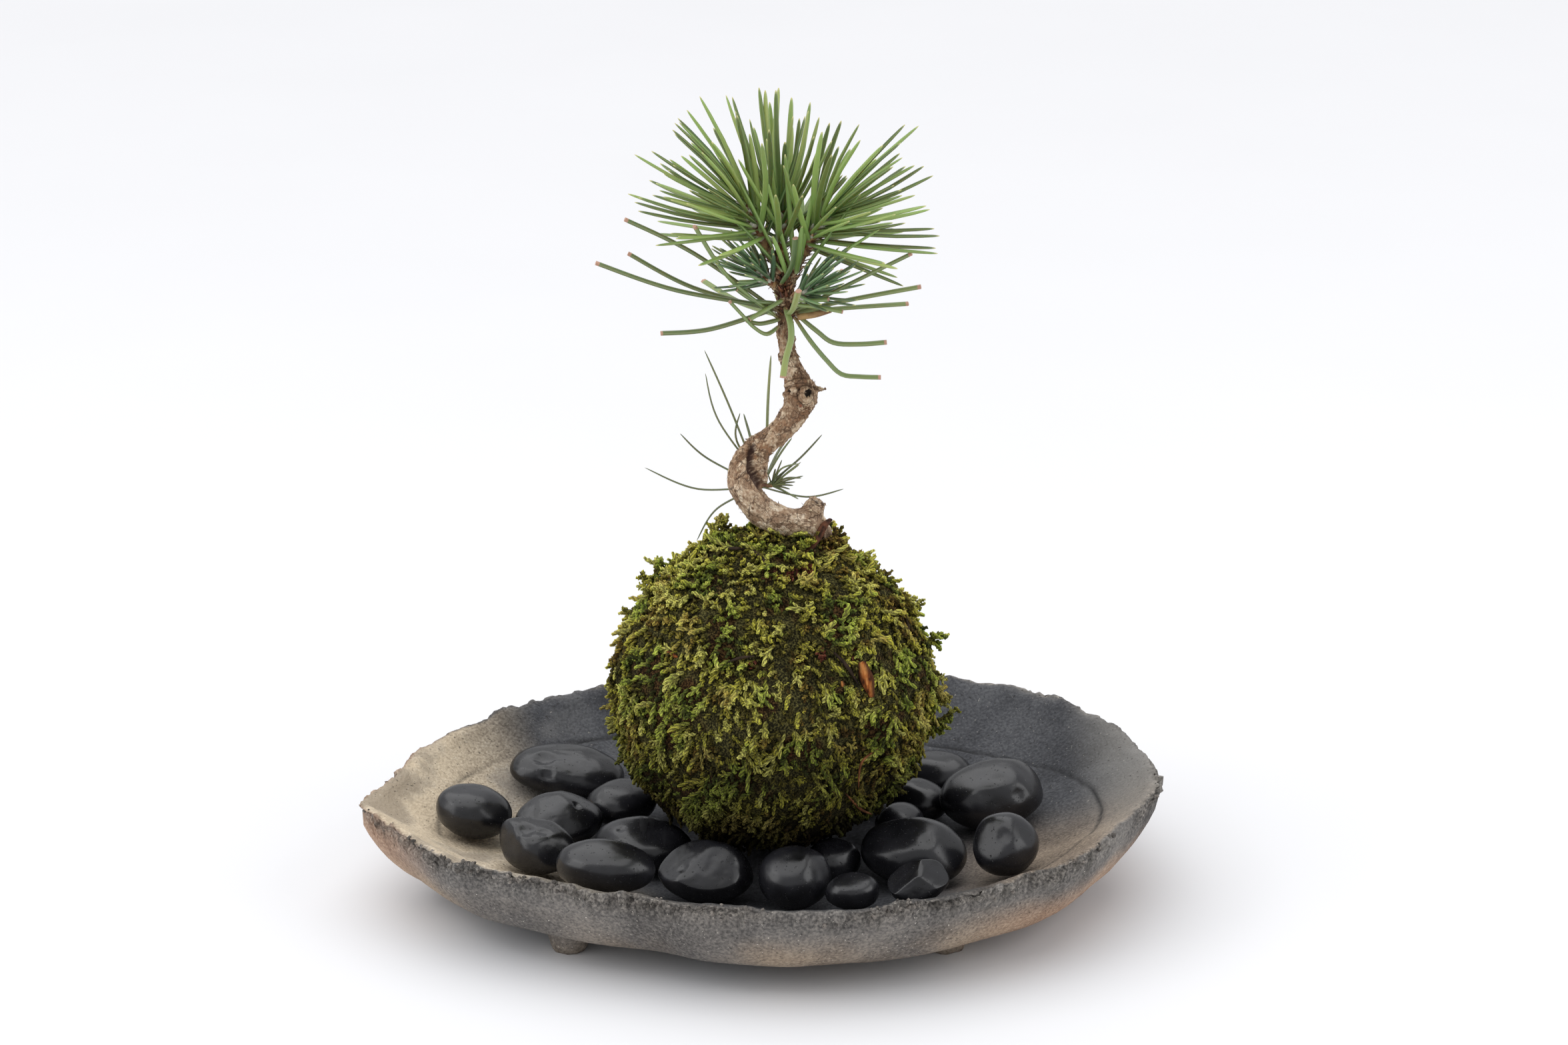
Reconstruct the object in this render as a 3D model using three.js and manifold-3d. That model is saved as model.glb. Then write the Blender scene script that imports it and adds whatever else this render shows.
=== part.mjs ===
// A kokedama: a small pine standing in a ball of soil that is wrapped in moss, resting among polished black
// pebbles in a rough clay dish. Millimetres, +Z up. The origin is under the middle of the dish, on the
// surface that its feet stand on. +X is to the right seen from the front, and +Y is away from the viewer.
import * as THREE from "three";
import { mergeVertices } from "three/addons/utils/BufferGeometryUtils.js";
import Module from "manifold-3d";

const wasm = await Module();
wasm.setup();

// Driving dimensions, all pieces
const GAP = 0.3; // room left between neighbours that touch
const GOLDEN_TURN = Math.PI * (3 - Math.sqrt(5)); // spreads repeats evenly round a shoot or a ball

// Driving dimensions, dish
const DISH_SIDES = 62;
const FLOOR_HEIGHT = 14; // top of the dish's floor
const UNDERSIDE_HEIGHT = 6.5;
const RIM_WIDTH = 6; // thickness of the lip, seen from above
const RIM_ROUNDING = 2.4; // how far the lip's shoulders drop from its top
const RIM_ROUGHNESS = 1.5; // how far the torn lip strays up and down
const INNER_FLAT = 0.25; // share of the way out to the lip where the floor is flat
const INNER_CURVE = 3.2; // how late the inside wall rises
const OUTER_FLAT = 0.66;
const OUTER_CURVE = 4.4;
const WELL_RINGS = [1, 0.87, 0.73, 0.58, 0.42, INNER_FLAT]; // shares of the way out, from the lip inwards
const UNDERSIDE_RINGS = [OUTER_FLAT, 0.74, 0.87, 0.95];
const TYPICAL_REACH = 100; // from the middle to the lip
// The lip seen from above, in order round the dish: x, y, and the height of its top
const RIM = [
  [-124, -11, 33], [-113, -28, 33], [-97, -50, 33], [-78, -62, 32], [-57, -71, 31.5],
  [-34, -78, 31.5], [-12, -87, 32], [12, -89.5, 31.5], [36, -86, 32], [58, -79, 33],
  [78, -67, 33], [95, -56, 34], [108, -37, 35], [119, -17, 36], [124, -2, 36.5],
  [121, 20, 36.5], [113, 44, 36], [99, 66, 36], [78, 81, 36], [53, 87.5, 36],
  [18, 90, 36], [-20, 89, 36], [-50, 82, 35.5], [-74, 70, 35], [-93, 50, 34.5],
  [-107, 32, 34], [-115, 8, 33.5],
];
const FEET = [[-57, -46], [56, -46], [0, 50]];
const FOOT = { top: 7, bottom: 4.8, sides: 10, sunk: 3 };

// Driving dimensions, ball
const BALL = { x: 4.1, y: -4, z: 68 };
const MOSS_RADIUS = 48.2; // to the bed that the fronds stand on
const MOSS_HALF_HEIGHT = 47.2;
const MOSS_THICKNESS = 4.6;
const MOSS_SWELL = 1.1; // height of the broad lumps
const MOSS_TUFT = 3.2; // height of the tallest tufts
const MOSS_FULLER_BELOW = 0.02; // share by which the ball widens towards its foot
const MOSS_DETAIL = 7;
const CORE_DETAIL = 3;
const THREAD_RADIUS = 0.55;
const THREAD_STEPS = 18;
const THREAD_LIFT = 0.5; // from the bed to the thread
const THREAD_TOP = 62; // how high up the ball each round of thread reaches, degrees
const THREAD_TURNS = [90, 210, 330]; // the compass side on which each round is highest, degrees
const PARTING = { flat: 5.5, full: 9.5 }; // how far to each side a thread holds the moss down, mm

// Driving dimensions, trunk: x, y, z and radius up its middle line
const TRUNK = [
  [15.4, -3, 80, 2.6], [16.2, -3, 95, 3.9], [17.2, -3.2, 108, 4.4], [17.4, -3.6, 115.5, 4.6],
  [14.6, -4.2, 120.4, 4.6], [8.5, -5, 121, 4.4], [0.9, -6, 124.6, 4.6], [-4.2, -6, 131.5, 4.7],
  [-5.4, -4, 135.7, 4.2], [-4.5, -1, 139.3, 3.8], [-0.6, 1, 142.4, 3.5], [6.6, 0, 148.2, 3.4],
  [11.7, -1, 155.4, 4], [12.8, -2, 160, 5], [10.1, -3, 166.1, 4], [8.3, -3, 172.9, 3.3],
  [7.6, -3, 180.3, 2.8], [8.1, -3, 188.5, 2.6], [7.3, -3, 196, 2.3], [6.6, -3, 203, 2],
];
const TRUNK_SIDES = 9;
const TRUNK_RINGS = 34;
const BARK_DEPTH = 0.12; // share of the radius that the furrows go in
const HOLE_FOOT = [15.3, -3, 78, 3.6]; // lower end of the hole that the trunk stands in
// Side growths fused to the trunk, each a short run of x, y, z and radius
const TRUNK_BRANCHES = [
  [[7.4, -3, 195.5, 1.9], [5.2, -3.4, 200.5, 1.9], [2.4, -3.9, 205, 1.8]],
  [[8, -3, 192.5, 2], [10, -3.6, 198, 2], [12.6, -4.3, 203.6, 1.9]],
  [[14.6, -4.2, 121, 3.8], [16, -4.4, 124.6, 3.5], [17, -4.6, 127.6, 2.7]],
  [[14, -2.4, 160.5, 2.2], [17, -3, 161.6, 1.9], [19.6, -3.4, 163, 0.7]],
  [[13, -3, 159.6, 2.4], [13.1, -5.6, 159.8, 2.3], [13.1, -7.4, 160, 1.9]],
  [[11.6, -2, 163, 3], [14.1, -1.6, 164.4, 2.2], [15.6, -1.4, 164.8, 1.4]],
];

// Driving dimensions, needles
const NEEDLE_RADIUS = 0.82; // of the circle round the three-sided section
const PAIR_SPREAD = 0.09; // how far each needle of a pair leans from the other
const NUDGES = 7; // tries to turn a needle clear of its neighbours before it is left out
const NEEDLE_STATIONS = { whole: [0, 0.45, 0.93, 1], cut: [0, 0.3, 0.65, 1] }; // shares of the way along
const NEEDLE_WIDTHS = { whole: [0.5, 1.05, 0.85], cut: [0.6, 1.1, 1] }; // at the base, half way and the end
// Leafy shoots of the crown. shoot: x, y, z and radius from its seat to its bud. pairs: of needles. lean:
// degrees off the shoot for the lowest and highest pair. length: shortest and longest. away: a pull that all
// needles share.
const SHOOTS = {
  spray_left: {
    shoot: [[2.15, -3.95, 205.4, 1.7], [-1.2, -4.9, 212.5, 1.6], [-4.8, -5.8, 219.5, 1.2]],
    pairs: 16, lean: [84, 14], length: [31, 41], away: [-0.5, -0.05, 0],
  },
  spray_top: {
    shoot: [[6.55, -2.9, 203.4, 1.4], [6.4, -1.6, 210, 1.5], [6.6, 0.4, 217, 1.2]],
    pairs: 15, lean: [80, 10], length: [31, 38], away: [-0.05, 0.15, 0.15],
  },
  spray_right: {
    shoot: [[12.8, -4.4, 204, 1.8], [16.2, -5, 210.5, 1.7], [20.4, -5.6, 217, 1.2]],
    pairs: 16, lean: [84, 14], length: [28, 37], away: [0.4, -0.04, -0.12],
  },
  spray_low_left: {
    shoot: [[4.6, -4, 194.4, 1.2], [1.4, -5.2, 197, 1.1], [-1.4, -6.4, 200, 0.9]],
    pairs: 8, lean: [70, 15], length: [14, 24], away: [-0.3, -0.2, 0],
  },
  spray_low_right: {
    shoot: [[10.6, -4.6, 190.6, 1.2], [13.2, -6, 192.6, 1.1], [15.8, -7.4, 195, 0.9]],
    pairs: 9, lean: [70, 15], length: [16, 27], away: [0.3, -0.1, 0],
  },
};
// The scaly neck that the old needles grow from: two heights up the trunk, and how far it stands off it
const NECK = { low: 182.5, high: 188.6, thick: 1.1, sides: 10 };
// Old needles, cut short: a point half way along and the cut end
const OLD_NEEDLES = [
  [[-24, -7, 193.5], [-47.7, -9, 202.4]], [[-19, -8, 205], [-39, -10, 215.8]],
  [[-19.5, -2, 193], [-38.5, -2, 203.4]], [[-9, -12, 199], [-18.6, -17, 215.6]],
  [[-14, -6, 181.5], [-29, -8, 180.7]], [[-5, -13, 186], [-8, -17, 194]],
  [[2.5, -12, 180.5], [-3.6, -15, 187]], [[8.6, -12.5, 180], [6.5, -15.5, 169.5]],
  [[25, -4, 189.5], [47.5, -6, 194.4]], [[24, 2, 185.5], [44.2, 5, 186.1]],
  [[26, -9, 195.8], [44.5, -11, 205.8]], [[24.1, -6, 177], [37.8, -6, 178]],
  [[24.9, -8, 168.9], [35.9, -8, 167.5]], [[6, 16, 184], [4, 33, 188]],
  [[16, 14, 185], [25, 28, 190]], [[-6, 14, 184], [-17, 27, 187]],
  [[10, -14, 190], [11.5, -27, 199]],
];
// The thin spray behind the first bend: its shoot, then a point half way along each needle and its tip
const LOWER_SHOOT = [[-1.9, -0.2, 130.6, 1.4], [0, 2.4, 131.6, 1.3], [2.2, 4.8, 133, 1]];
const LOWER_NEEDLES = [
  [[-8.9, 8, 152.8], [-16.5, 8, 170.9]], [[-12.1, 4, 149.6], [-16.2, 4, 164.9]],
  [[-15.9, 8, 136.9], [-24, 8, 144.7]], [[-18.6, 5, 128.1], [-34.7, 5, 134.9]],
  [[-12.8, 3, 122.6], [-19.1, 3, 112.3]], [[-3, 9, 146], [-5.8, 12, 149.5]],
  [[2.4, 9, 152.5], [3.4, 9, 169]], [[11.7, 7, 136.8], [18.8, 7, 144.7]],
  [[6, 8, 138], [9.7, 10, 142.7]], [[6.5, 5, 134.5], [11.5, 5.5, 136]],
  [[8, 5, 131.5], [12.5, 5.5, 131.4]], [[14, 5, 125.6], [25.3, 5, 128.1]],
  [[-2, 14, 138], [-5, 24, 146]], [[5, 14, 136], [10, 23, 141]],
];

// Driving dimensions, pebbles: x, y of the middle, length, width, height, turn from above in degrees, and how
// flat its worn faces are (0 is an egg)
const PEBBLES = [
  [-60.5, 31, 37, 25, 14.5, 2, 0.1], [-56, 4, 28, 22, 17.5, 24, 0.15], [-83.5, -6, 24, 21, 17, 8, 0],
  [-67.5, -30.5, 27, 21, 17.5, -20, 0.5], [-44, -49, 31, 22, 17, -6, 0.1], [-35.5, -20.5, 31, 24, 17, -12, 0.1],
  [-40, 14, 24, 20, 15.5, 40, 0.1], [-15.3, -46.5, 31, 23, 20, 16, 0.6], [10.3, -52, 23, 21, 19, 0, 0.15],
  [21.5, -29, 20, 16, 14, 30, 0.1], [27.5, -60, 17, 14, 12, 10, 0.2], [45, -33, 34, 27, 21, -30, 0.15],
  [47, -60, 21, 16, 13, 20, 0.8], [67, 12, 36, 27, 21, 8, 0.2], [73.5, -40, 22, 20, 19, 45, 0.1],
  [53, 33, 24, 19, 15, -20, 0.1], [43.5, 3, 18, 15, 13, 70, 0.1], [31, 38, 28, 21, 16, 10, 0.2],
  [3, 44, 30, 22, 17, -8, 0.1], [-27, 37, 27, 21, 16, 35, 0.3], [44, 22, 20, 16, 14, -30, 0.1],
];
const PEBBLE_DETAIL = 2;
const CARRIERS = [8, 10, 18, 19, 20]; // the stones that the ball rests on, counted from 1
const SETTLING_ROUNDS = 60;
const FARTHEST_NEIGHBOUR = 42; // middle to middle

// Colours, by eye
const LOOKS = {
  dish: { color: 0x4a4a4c, roughness: 0.85 },
  soil: { color: 0x2f2219, roughness: 1 },
  moss: { color: 0x5c6a1f, roughness: 0.95 },
  thread: { color: 0x2a2a20, roughness: 0.8 },
  bark: { color: 0x9c8468, roughness: 0.9 },
  needle: { color: 0x4d7a35, roughness: 0.6 },
  pebble: { color: 0x16171a, roughness: 0.3 },
};

// A number from 0 to 1 that looks random and is always the same for the same seed.
function chance(seed) {
  const value = Math.sin(seed * 12.9898 + 4.137) * 43758.5453;
  return value - Math.floor(value);
}

const mix = (from, to, share) => from + (to - from) * share;

// The smooth curve through points of any number of coordinates. step runs from 0 to the last point's number,
// or once more round if the curve is closed.
function along(points, step, closed = false) {
  const count = points.length;
  const start = closed ? Math.floor(step) : Math.min(Math.floor(step), count - 2);
  const t = step - start;
  const pick = (i) =>
    closed ? points[(i + count) % count] : points[Math.min(Math.max(i, 0), count - 1)];
  const [a, b, c, d] = [start - 1, start, start + 1, start + 2].map(pick);
  return b.map((_, n) => {
    const bend = 2 * a[n] - 5 * b[n] + 4 * c[n] - d[n];
    const turn = 3 * b[n] - a[n] - 3 * c[n] + d[n];
    return 0.5 * (2 * b[n] + (c[n] - a[n]) * t + bend * t * t + turn * t * t * t);
  });
}

// A skin over rings of points that all go round the same way. Each end is closed by a point, where one is
// given, and otherwise flat. wrap joins the last ring to the first instead.
function skin(rings, { firstTip, lastTip, wrap = false } = {}) {
  const sides = rings[0].length;
  const points = rings.flat();
  const faces = [];
  const at = (ring, i) => (ring % rings.length) * sides + (i % sides);
  const spans = wrap ? rings.length : rings.length - 1;
  for (let ring = 0; ring < spans; ring++)
    for (let i = 0; i < sides; i++) {
      faces.push(at(ring, i), at(ring, i + 1), at(ring + 1, i + 1));
      faces.push(at(ring, i), at(ring + 1, i + 1), at(ring + 1, i));
    }
  const close = (ring, tip, facing) => {
    if (tip) points.push(tip);
    const hub = tip ? points.length - 1 : at(ring, 0);
    for (let i = tip ? 0 : 1; i < (tip ? sides : sides - 1); i++) {
      const edge = [at(ring, i), at(ring, i + 1)];
      faces.push(hub, ...(facing > 0 ? edge : edge.reverse()));
    }
  };
  if (!wrap) {
    close(0, firstTip, -1);
    close(rings.length - 1, lastTip, 1);
  }
  const geometry = new THREE.BufferGeometry();
  geometry.setAttribute("position", new THREE.Float32BufferAttribute(points.flat(), 3));
  geometry.setIndex(faces);
  return geometry;
}

// Shares of the way along, evenly spaced
const evenly = (count) => Array.from({ length: count }, (_, i) => i / (count - 1));

// A round limb along points of x, y, z and radius, with a ring at each station, a share of the way along.
// relief(ring, side) is a share to take off the radius. A pointed limb ends in a point at the last station.
function limb(points, { sides, stations, relief = () => 0, pointed = false, turn = 0 }) {
  const places = stations.map((share) => along(points, (points.length - 1) * share));
  const middle = places.map(([x, y, z]) => new THREE.Vector3(x, y, z));
  const across = new THREE.Vector3(1, 0, 0.13);
  const loops = middle.map((centre, ring) => {
    const ahead = middle[Math.min(ring + 1, middle.length - 1)];
    const behind = middle[Math.max(ring - 1, 0)];
    const heading = ahead.clone().sub(behind).normalize();
    across.addScaledVector(heading, -across.dot(heading)).normalize();
    const over = heading.clone().cross(across);
    return Array.from({ length: sides }, (_, side) => {
      const angle = turn + (2 * Math.PI * side) / sides;
      const radius = places[ring][3] * (1 - relief(ring, side));
      const spot = centre.clone();
      spot.addScaledVector(across, radius * Math.cos(angle));
      return spot.addScaledVector(over, radius * Math.sin(angle)).toArray();
    });
  });
  const lastTip = pointed && loops.pop() ? middle.at(-1).toArray() : undefined;
  return skin(loops, { lastTip });
}

// A ball of even triangles, each point moved by place(direction, number).
function roundSolid(detail, place) {
  const ball = new THREE.IcosahedronGeometry(1, detail);
  ball.deleteAttribute("normal");
  ball.deleteAttribute("uv");
  const geometry = mergeVertices(ball, 1e-4);
  const position = geometry.getAttribute("position");
  const direction = new THREE.Vector3();
  for (let i = 0; i < position.count; i++) {
    direction.fromBufferAttribute(position, i).normalize();
    position.setXYZ(i, ...place(direction.clone(), i));
  }
  return geometry;
}

function pointsOf(geometry) {
  const position = geometry.getAttribute("position");
  return Array.from({ length: position.count }, (_, i) => new THREE.Vector3().fromBufferAttribute(position, i));
}

function toSolid(geometry) {
  const plain = geometry.clone();
  plain.deleteAttribute("normal");
  plain.deleteAttribute("uv");
  const merged = mergeVertices(plain, 1e-4);
  const vertProperties = new Float32Array(merged.getAttribute("position").array);
  const triVerts = new Uint32Array(merged.index.array);
  return new wasm.Manifold(new wasm.Mesh({ numProp: 3, vertProperties, triVerts }));
}

function toGeometry(solid) {
  const { vertProperties, triVerts } = solid.getMesh();
  const geometry = new THREE.BufferGeometry();
  geometry.setAttribute("position", new THREE.BufferAttribute(new Float32Array(vertProperties), 3));
  geometry.setIndex(new THREE.BufferAttribute(new Uint32Array(triVerts), 1));
  return geometry;
}

const fuse = (geometries) => geometries.map(toSolid).reduce((all, next) => all.add(next));

function mesh(name, geometry, look) {
  geometry.deleteAttribute("normal");
  const flat = geometry.index ? geometry.toNonIndexed() : geometry;
  flat.computeVertexNormals();
  const made = new THREE.Mesh(flat, new THREE.MeshStandardMaterial({ metalness: 0, ...look }));
  made.name = name;
  return made;
}

// Dish: the lip's points in order, then the height of the inside above any spot
const lip = Array.from({ length: DISH_SIDES }, (_, i) => {
  const [x, y, height] = along(RIM, (RIM.length * i) / DISH_SIDES, true);
  return { x, y, height: height + RIM_ROUGHNESS * (chance(i + 1) - 0.5) };
});
for (const axis of ["x", "y"]) {
  const values = lip.map((p) => p[axis]);
  const middle = (Math.min(...values) + Math.max(...values)) / 2;
  lip.forEach((p) => (p[axis] -= middle));
}

const inside = lip.map(({ x, y, height }) => {
  const share = 1 - RIM_WIDTH / Math.hypot(x, y);
  return { x: x * share, y: y * share, height: height - RIM_ROUNDING };
});

function innerHeight(share, wall) {
  const rise = Math.max(0, (share - INNER_FLAT) / (1 - INNER_FLAT));
  return mix(FLOOR_HEIGHT, wall, rise ** INNER_CURVE);
}

function outerHeight(share, wall) {
  const rise = Math.max(0, (share - OUTER_FLAT) / (1 - OUTER_FLAT));
  return mix(UNDERSIDE_HEIGHT, wall, rise ** OUTER_CURVE);
}

// Height of the dish's inside at x, y: finds the side that the spot lies on, and how far out it is.
function dishTop(x, y) {
  for (let i = 0; i < inside.length; i++) {
    const a = inside[i];
    const b = inside[(i + 1) % inside.length];
    const area = a.x * b.y - a.y * b.x;
    const u = (x * b.y - y * b.x) / area;
    const v = (a.x * y - a.y * x) / area;
    if (u >= -1e-9 && v >= -1e-9)
      return innerHeight(u + v, (u * a.height + v * b.height) / Math.max(u + v, 1e-6));
  }
  return FLOOR_HEIGHT;
}

function makeDish() {
  const ring = (points, share, height) => points.map((p) => [p.x * share, p.y * share, height(p)]);
  const underside = UNDERSIDE_RINGS.map((share) =>
    ring(lip, share, (p) => outerHeight(share, p.height - RIM_ROUNDING)),
  );
  const inwards = (share) => 1 - (share * RIM_WIDTH) / TYPICAL_REACH;
  const edge = [
    ring(lip, 1, (p) => p.height - RIM_ROUNDING),
    ring(lip, inwards(0.35), (p) => p.height),
    ring(lip, inwards(0.75), (p) => p.height - 0.2),
  ];
  const well = WELL_RINGS.map((share) =>
    ring(inside, share, (p) => innerHeight(share, p.height)),
  );
  const body = skin([...underside, ...edge, ...well], {
    firstTip: [0, 0, UNDERSIDE_HEIGHT],
    lastTip: [0, 0, FLOOR_HEIGHT],
  });
  const height = UNDERSIDE_HEIGHT + FOOT.sunk;
  const feet = FEET.map(([x, y]) => {
    const foot = new THREE.CylinderGeometry(FOOT.top, FOOT.bottom, height, FOOT.sides);
    return foot.rotateX(Math.PI / 2).translate(x, y, height / 2);
  });
  return toGeometry(fuse([body, ...feet]));
}

// Ball: the surface that lies inset below the moss bed in a direction
function ballPoint(direction, inset) {
  const wide = (MOSS_RADIUS - inset) * (1 - MOSS_FULLER_BELOW * direction.z);
  return [
    BALL.x + wide * direction.x,
    BALL.y + wide * direction.y,
    BALL.z + (MOSS_HALF_HEIGHT - inset) * direction.z,
  ];
}

// The plane of each round of thread, as the direction straight out of it
const threadPlanes = THREAD_TURNS.map((compass) => {
  const [turn, top] = [compass, THREAD_TOP].map(THREE.MathUtils.degToRad);
  const flat = -Math.sin(top);
  return new THREE.Vector3(flat * Math.cos(turn), flat * Math.sin(turn), Math.cos(top));
});

// How far a direction lies from the nearest thread, in millimetres on the ball
const fromThread = (direction) =>
  MOSS_RADIUS * Math.min(...threadPlanes.map((plane) => Math.abs(direction.dot(plane))));

function mossRelief(direction, number) {
  const { x, y, z } = direction;
  const swell = Math.sin(5.1 * x + 1.3) * Math.sin(4.3 * y + 0.4) + Math.sin(6.2 * z + 3 * x);
  const height = MOSS_SWELL * (1 + 0.5 * swell) + MOSS_TUFT * chance(number * 1.7 + 3) ** 2.2;
  return height * THREE.MathUtils.smoothstep(fromThread(direction), PARTING.flat, PARTING.full);
}

// Driving dimensions, loose sprigs that stand out of the moss: direction from the ball's middle, length, and
// which way each leans
const NAMED_SPRIGS = [
  [[-0.77, 0, 0.64], 9, [-0.6, 0, 0.8]], [[-0.7, 0.1, 0.72], 6, [-0.6, 0, 1]],
  [[0.95, 0.02, -0.26], 15, [0.75, 0, 0.8]], [[0.99, -0.1, -0.05], 8, [1, -0.2, 0.4]],
  [[0.955, 0, 0.295], 8, [0.9, 0, 0.4]], [[0.45, 0, 0.89], 10, [0.8, 0, 0.6]],
  [[-0.3, 0.2, 0.95], 7, [-0.5, 0, 1]], [[0.2, -0.5, 0.85], 6, [0.6, -0.8, 0.4]],
];
const SPRIG_COUNT = 30;
const SPRIG = { sunk: 1.5, root: 1.3, knee: 1.5, tip: 0.75, clear: 3 };

function makeSprigs() {
  const sprigs = [...NAMED_SPRIGS];
  for (let i = 0; i < SPRIG_COUNT; i++) {
    const z = mix(0.88, -0.8, (i + 0.5) / SPRIG_COUNT);
    const angle = i * GOLDEN_TURN;
    const out = [Math.cos(angle) * Math.sqrt(1 - z * z), Math.sin(angle) * Math.sqrt(1 - z * z), z];
    const lean = [chance(i + 60) - 0.5, chance(i + 160) - 0.5, chance(i + 260) - 0.6];
    sprigs.push([out, mix(5, 7.5, chance(i + 360)), lean.map((v, n) => 1.6 * v + 0.8 * out[n])]);
  }
  const middle = new THREE.Vector3(BALL.x, BALL.y, BALL.z);
  return sprigs.flatMap(([out, length, lean], number) => {
    const direction = new THREE.Vector3(...out).normalize();
    const root = new THREE.Vector3(...ballPoint(direction, SPRIG.sunk));
    const towards = new THREE.Vector3(...lean).normalize();
    const knee = root.clone().addScaledVector(direction, SPRIG.sunk + length * 0.35);
    const tip = knee.clone().addScaledVector(towards, length * 0.65);
    if ([knee, tip].some((p) => fromThread(p.clone().sub(middle).normalize()) < SPRIG.clear)) return [];
    const points = [[...root, SPRIG.root], [...knee, SPRIG.knee], [...tip, SPRIG.tip]];
    return [limb(points, { sides: 3, stations: [0, 0.5, 1], turn: number })];
  });
}

// Rounds of thread that lie on the moss bed
function makeThread() {
  return threadPlanes.map((plane) => {
    const level = new THREE.Vector3(-plane.y, plane.x, 0).normalize();
    const upward = plane.clone().cross(level);
    const rings = Array.from({ length: THREAD_STEPS }, (_, step) => {
      const angle = (2 * Math.PI * step) / THREAD_STEPS;
      const out = level.clone().multiplyScalar(Math.cos(angle)).addScaledVector(upward, Math.sin(angle));
      return [0, 1, 2].map((corner) => {
        const round = (-2 * Math.PI * corner) / 3;
        const lift = THREAD_LIFT + THREAD_RADIUS * (1 + Math.cos(round));
        const spot = new THREE.Vector3(...ballPoint(out, -lift));
        return spot.addScaledVector(plane, THREAD_RADIUS * Math.sin(round)).toArray();
      });
    });
    return skin(rings, { wrap: true });
  });
}

function trunkLimbs(extra = 0, relief = () => 0) {
  const wider = (points) => points.map(([x, y, z, radius]) => [x, y, z, radius + extra]);
  const stem = limb(wider(TRUNK), { sides: TRUNK_SIDES, stations: evenly(TRUNK_RINGS), relief });
  const branches = TRUNK_BRANCHES.map((points) => limb(wider(points), { sides: 7, stations: evenly(3) }));
  return [stem, ...branches];
}

function makeTrunk() {
  const furrow = (ring, side) => BARK_DEPTH * chance(ring * 13 + side * 7);
  return toGeometry(fuse(trunkLimbs(0, furrow)));
}

// The hole and bed that the trunk stands and lies in
const trunkBed = () => {
  const held = TRUNK.slice(1, 9).map(([x, y, z, radius]) => [x, y, z, radius + 2 * GAP]);
  return toSolid(limb([HOLE_FOOT, ...held], { sides: TRUNK_SIDES, stations: evenly(20) }));
};

function makeMoss() {
  const outer = roundSolid(MOSS_DETAIL, (direction, number) =>
    ballPoint(direction, -mossRelief(direction, number)),
  );
  const hollow = roundSolid(CORE_DETAIL, (direction) => ballPoint(direction, MOSS_THICKNESS));
  return fuse([outer, ...makeSprigs()]).subtract(toSolid(hollow)).subtract(trunkBed());
}

function makeSoil() {
  const inset = MOSS_THICKNESS + GAP;
  return toSolid(roundSolid(CORE_DETAIL, (direction) => ballPoint(direction, inset))).subtract(trunkBed());
}

// The largest piece of a solid, without loose scraps
function mainPiece(solid) {
  const pieces = solid.decompose();
  return pieces.reduce((best, next) => (next.volume() > best.volume() ? next : best));
}

// Needles: where each runs, and which neighbours it must stay clear of
function needleRun(base, half, tip, spray, cut = false) {
  return { points: [base, half, tip], spray, cut };
}

// Shortest distance between two straight stretches
function stretchDistance(p1, q1, p2, q2) {
  const [d1, d2, r] = [q1.clone().sub(p1), q2.clone().sub(p2), p1.clone().sub(p2)];
  const [a, e, f, c, b] = [d1.dot(d1), d2.dot(d2), d2.dot(r), d1.dot(r), d1.dot(d2)];
  const flatness = a * e - b * b;
  const clamp = (v) => Math.min(Math.max(v, 0), 1);
  let s = flatness > 1e-9 ? clamp((b * f - c * e) / flatness) : 0;
  let t = (b * s + f) / e;
  if (t < 0 || t > 1) {
    t = clamp(t);
    s = clamp((b * t - c) / a);
  }
  return p1.clone().addScaledVector(d1, s).distanceTo(p2.clone().addScaledVector(d2, t));
}

const vector = ([x, y, z]) => new THREE.Vector3(x, y, z);

// Straight stretches with a radius that needles of other sprays keep clear of
const obstacles = [];

function addObstacles(points, spray, steps, widest = 0) {
  let before = along(points, 0);
  for (let i = 1; i <= steps; i++) {
    const next = along(points, ((points.length - 1) * i) / steps);
    const radius = Math.max(before[3] ?? widest, next[3] ?? widest);
    obstacles.push({ from: vector(before), to: vector(next), radius, spray });
    before = next;
  }
}

function clearOfOthers(run) {
  const stations = [0, 0.5, 1, 1.5, 2].map((step) => vector(along(run.points, step)));
  return obstacles.every(({ from, to, radius, spray }) => {
    if (spray === run.spray) return true;
    const room = radius + NEEDLE_RADIUS + GAP + 0.1;
    return [0, 1, 2, 3].every((i) => stretchDistance(stations[i], stations[i + 1], from, to) > room);
  });
}

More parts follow.
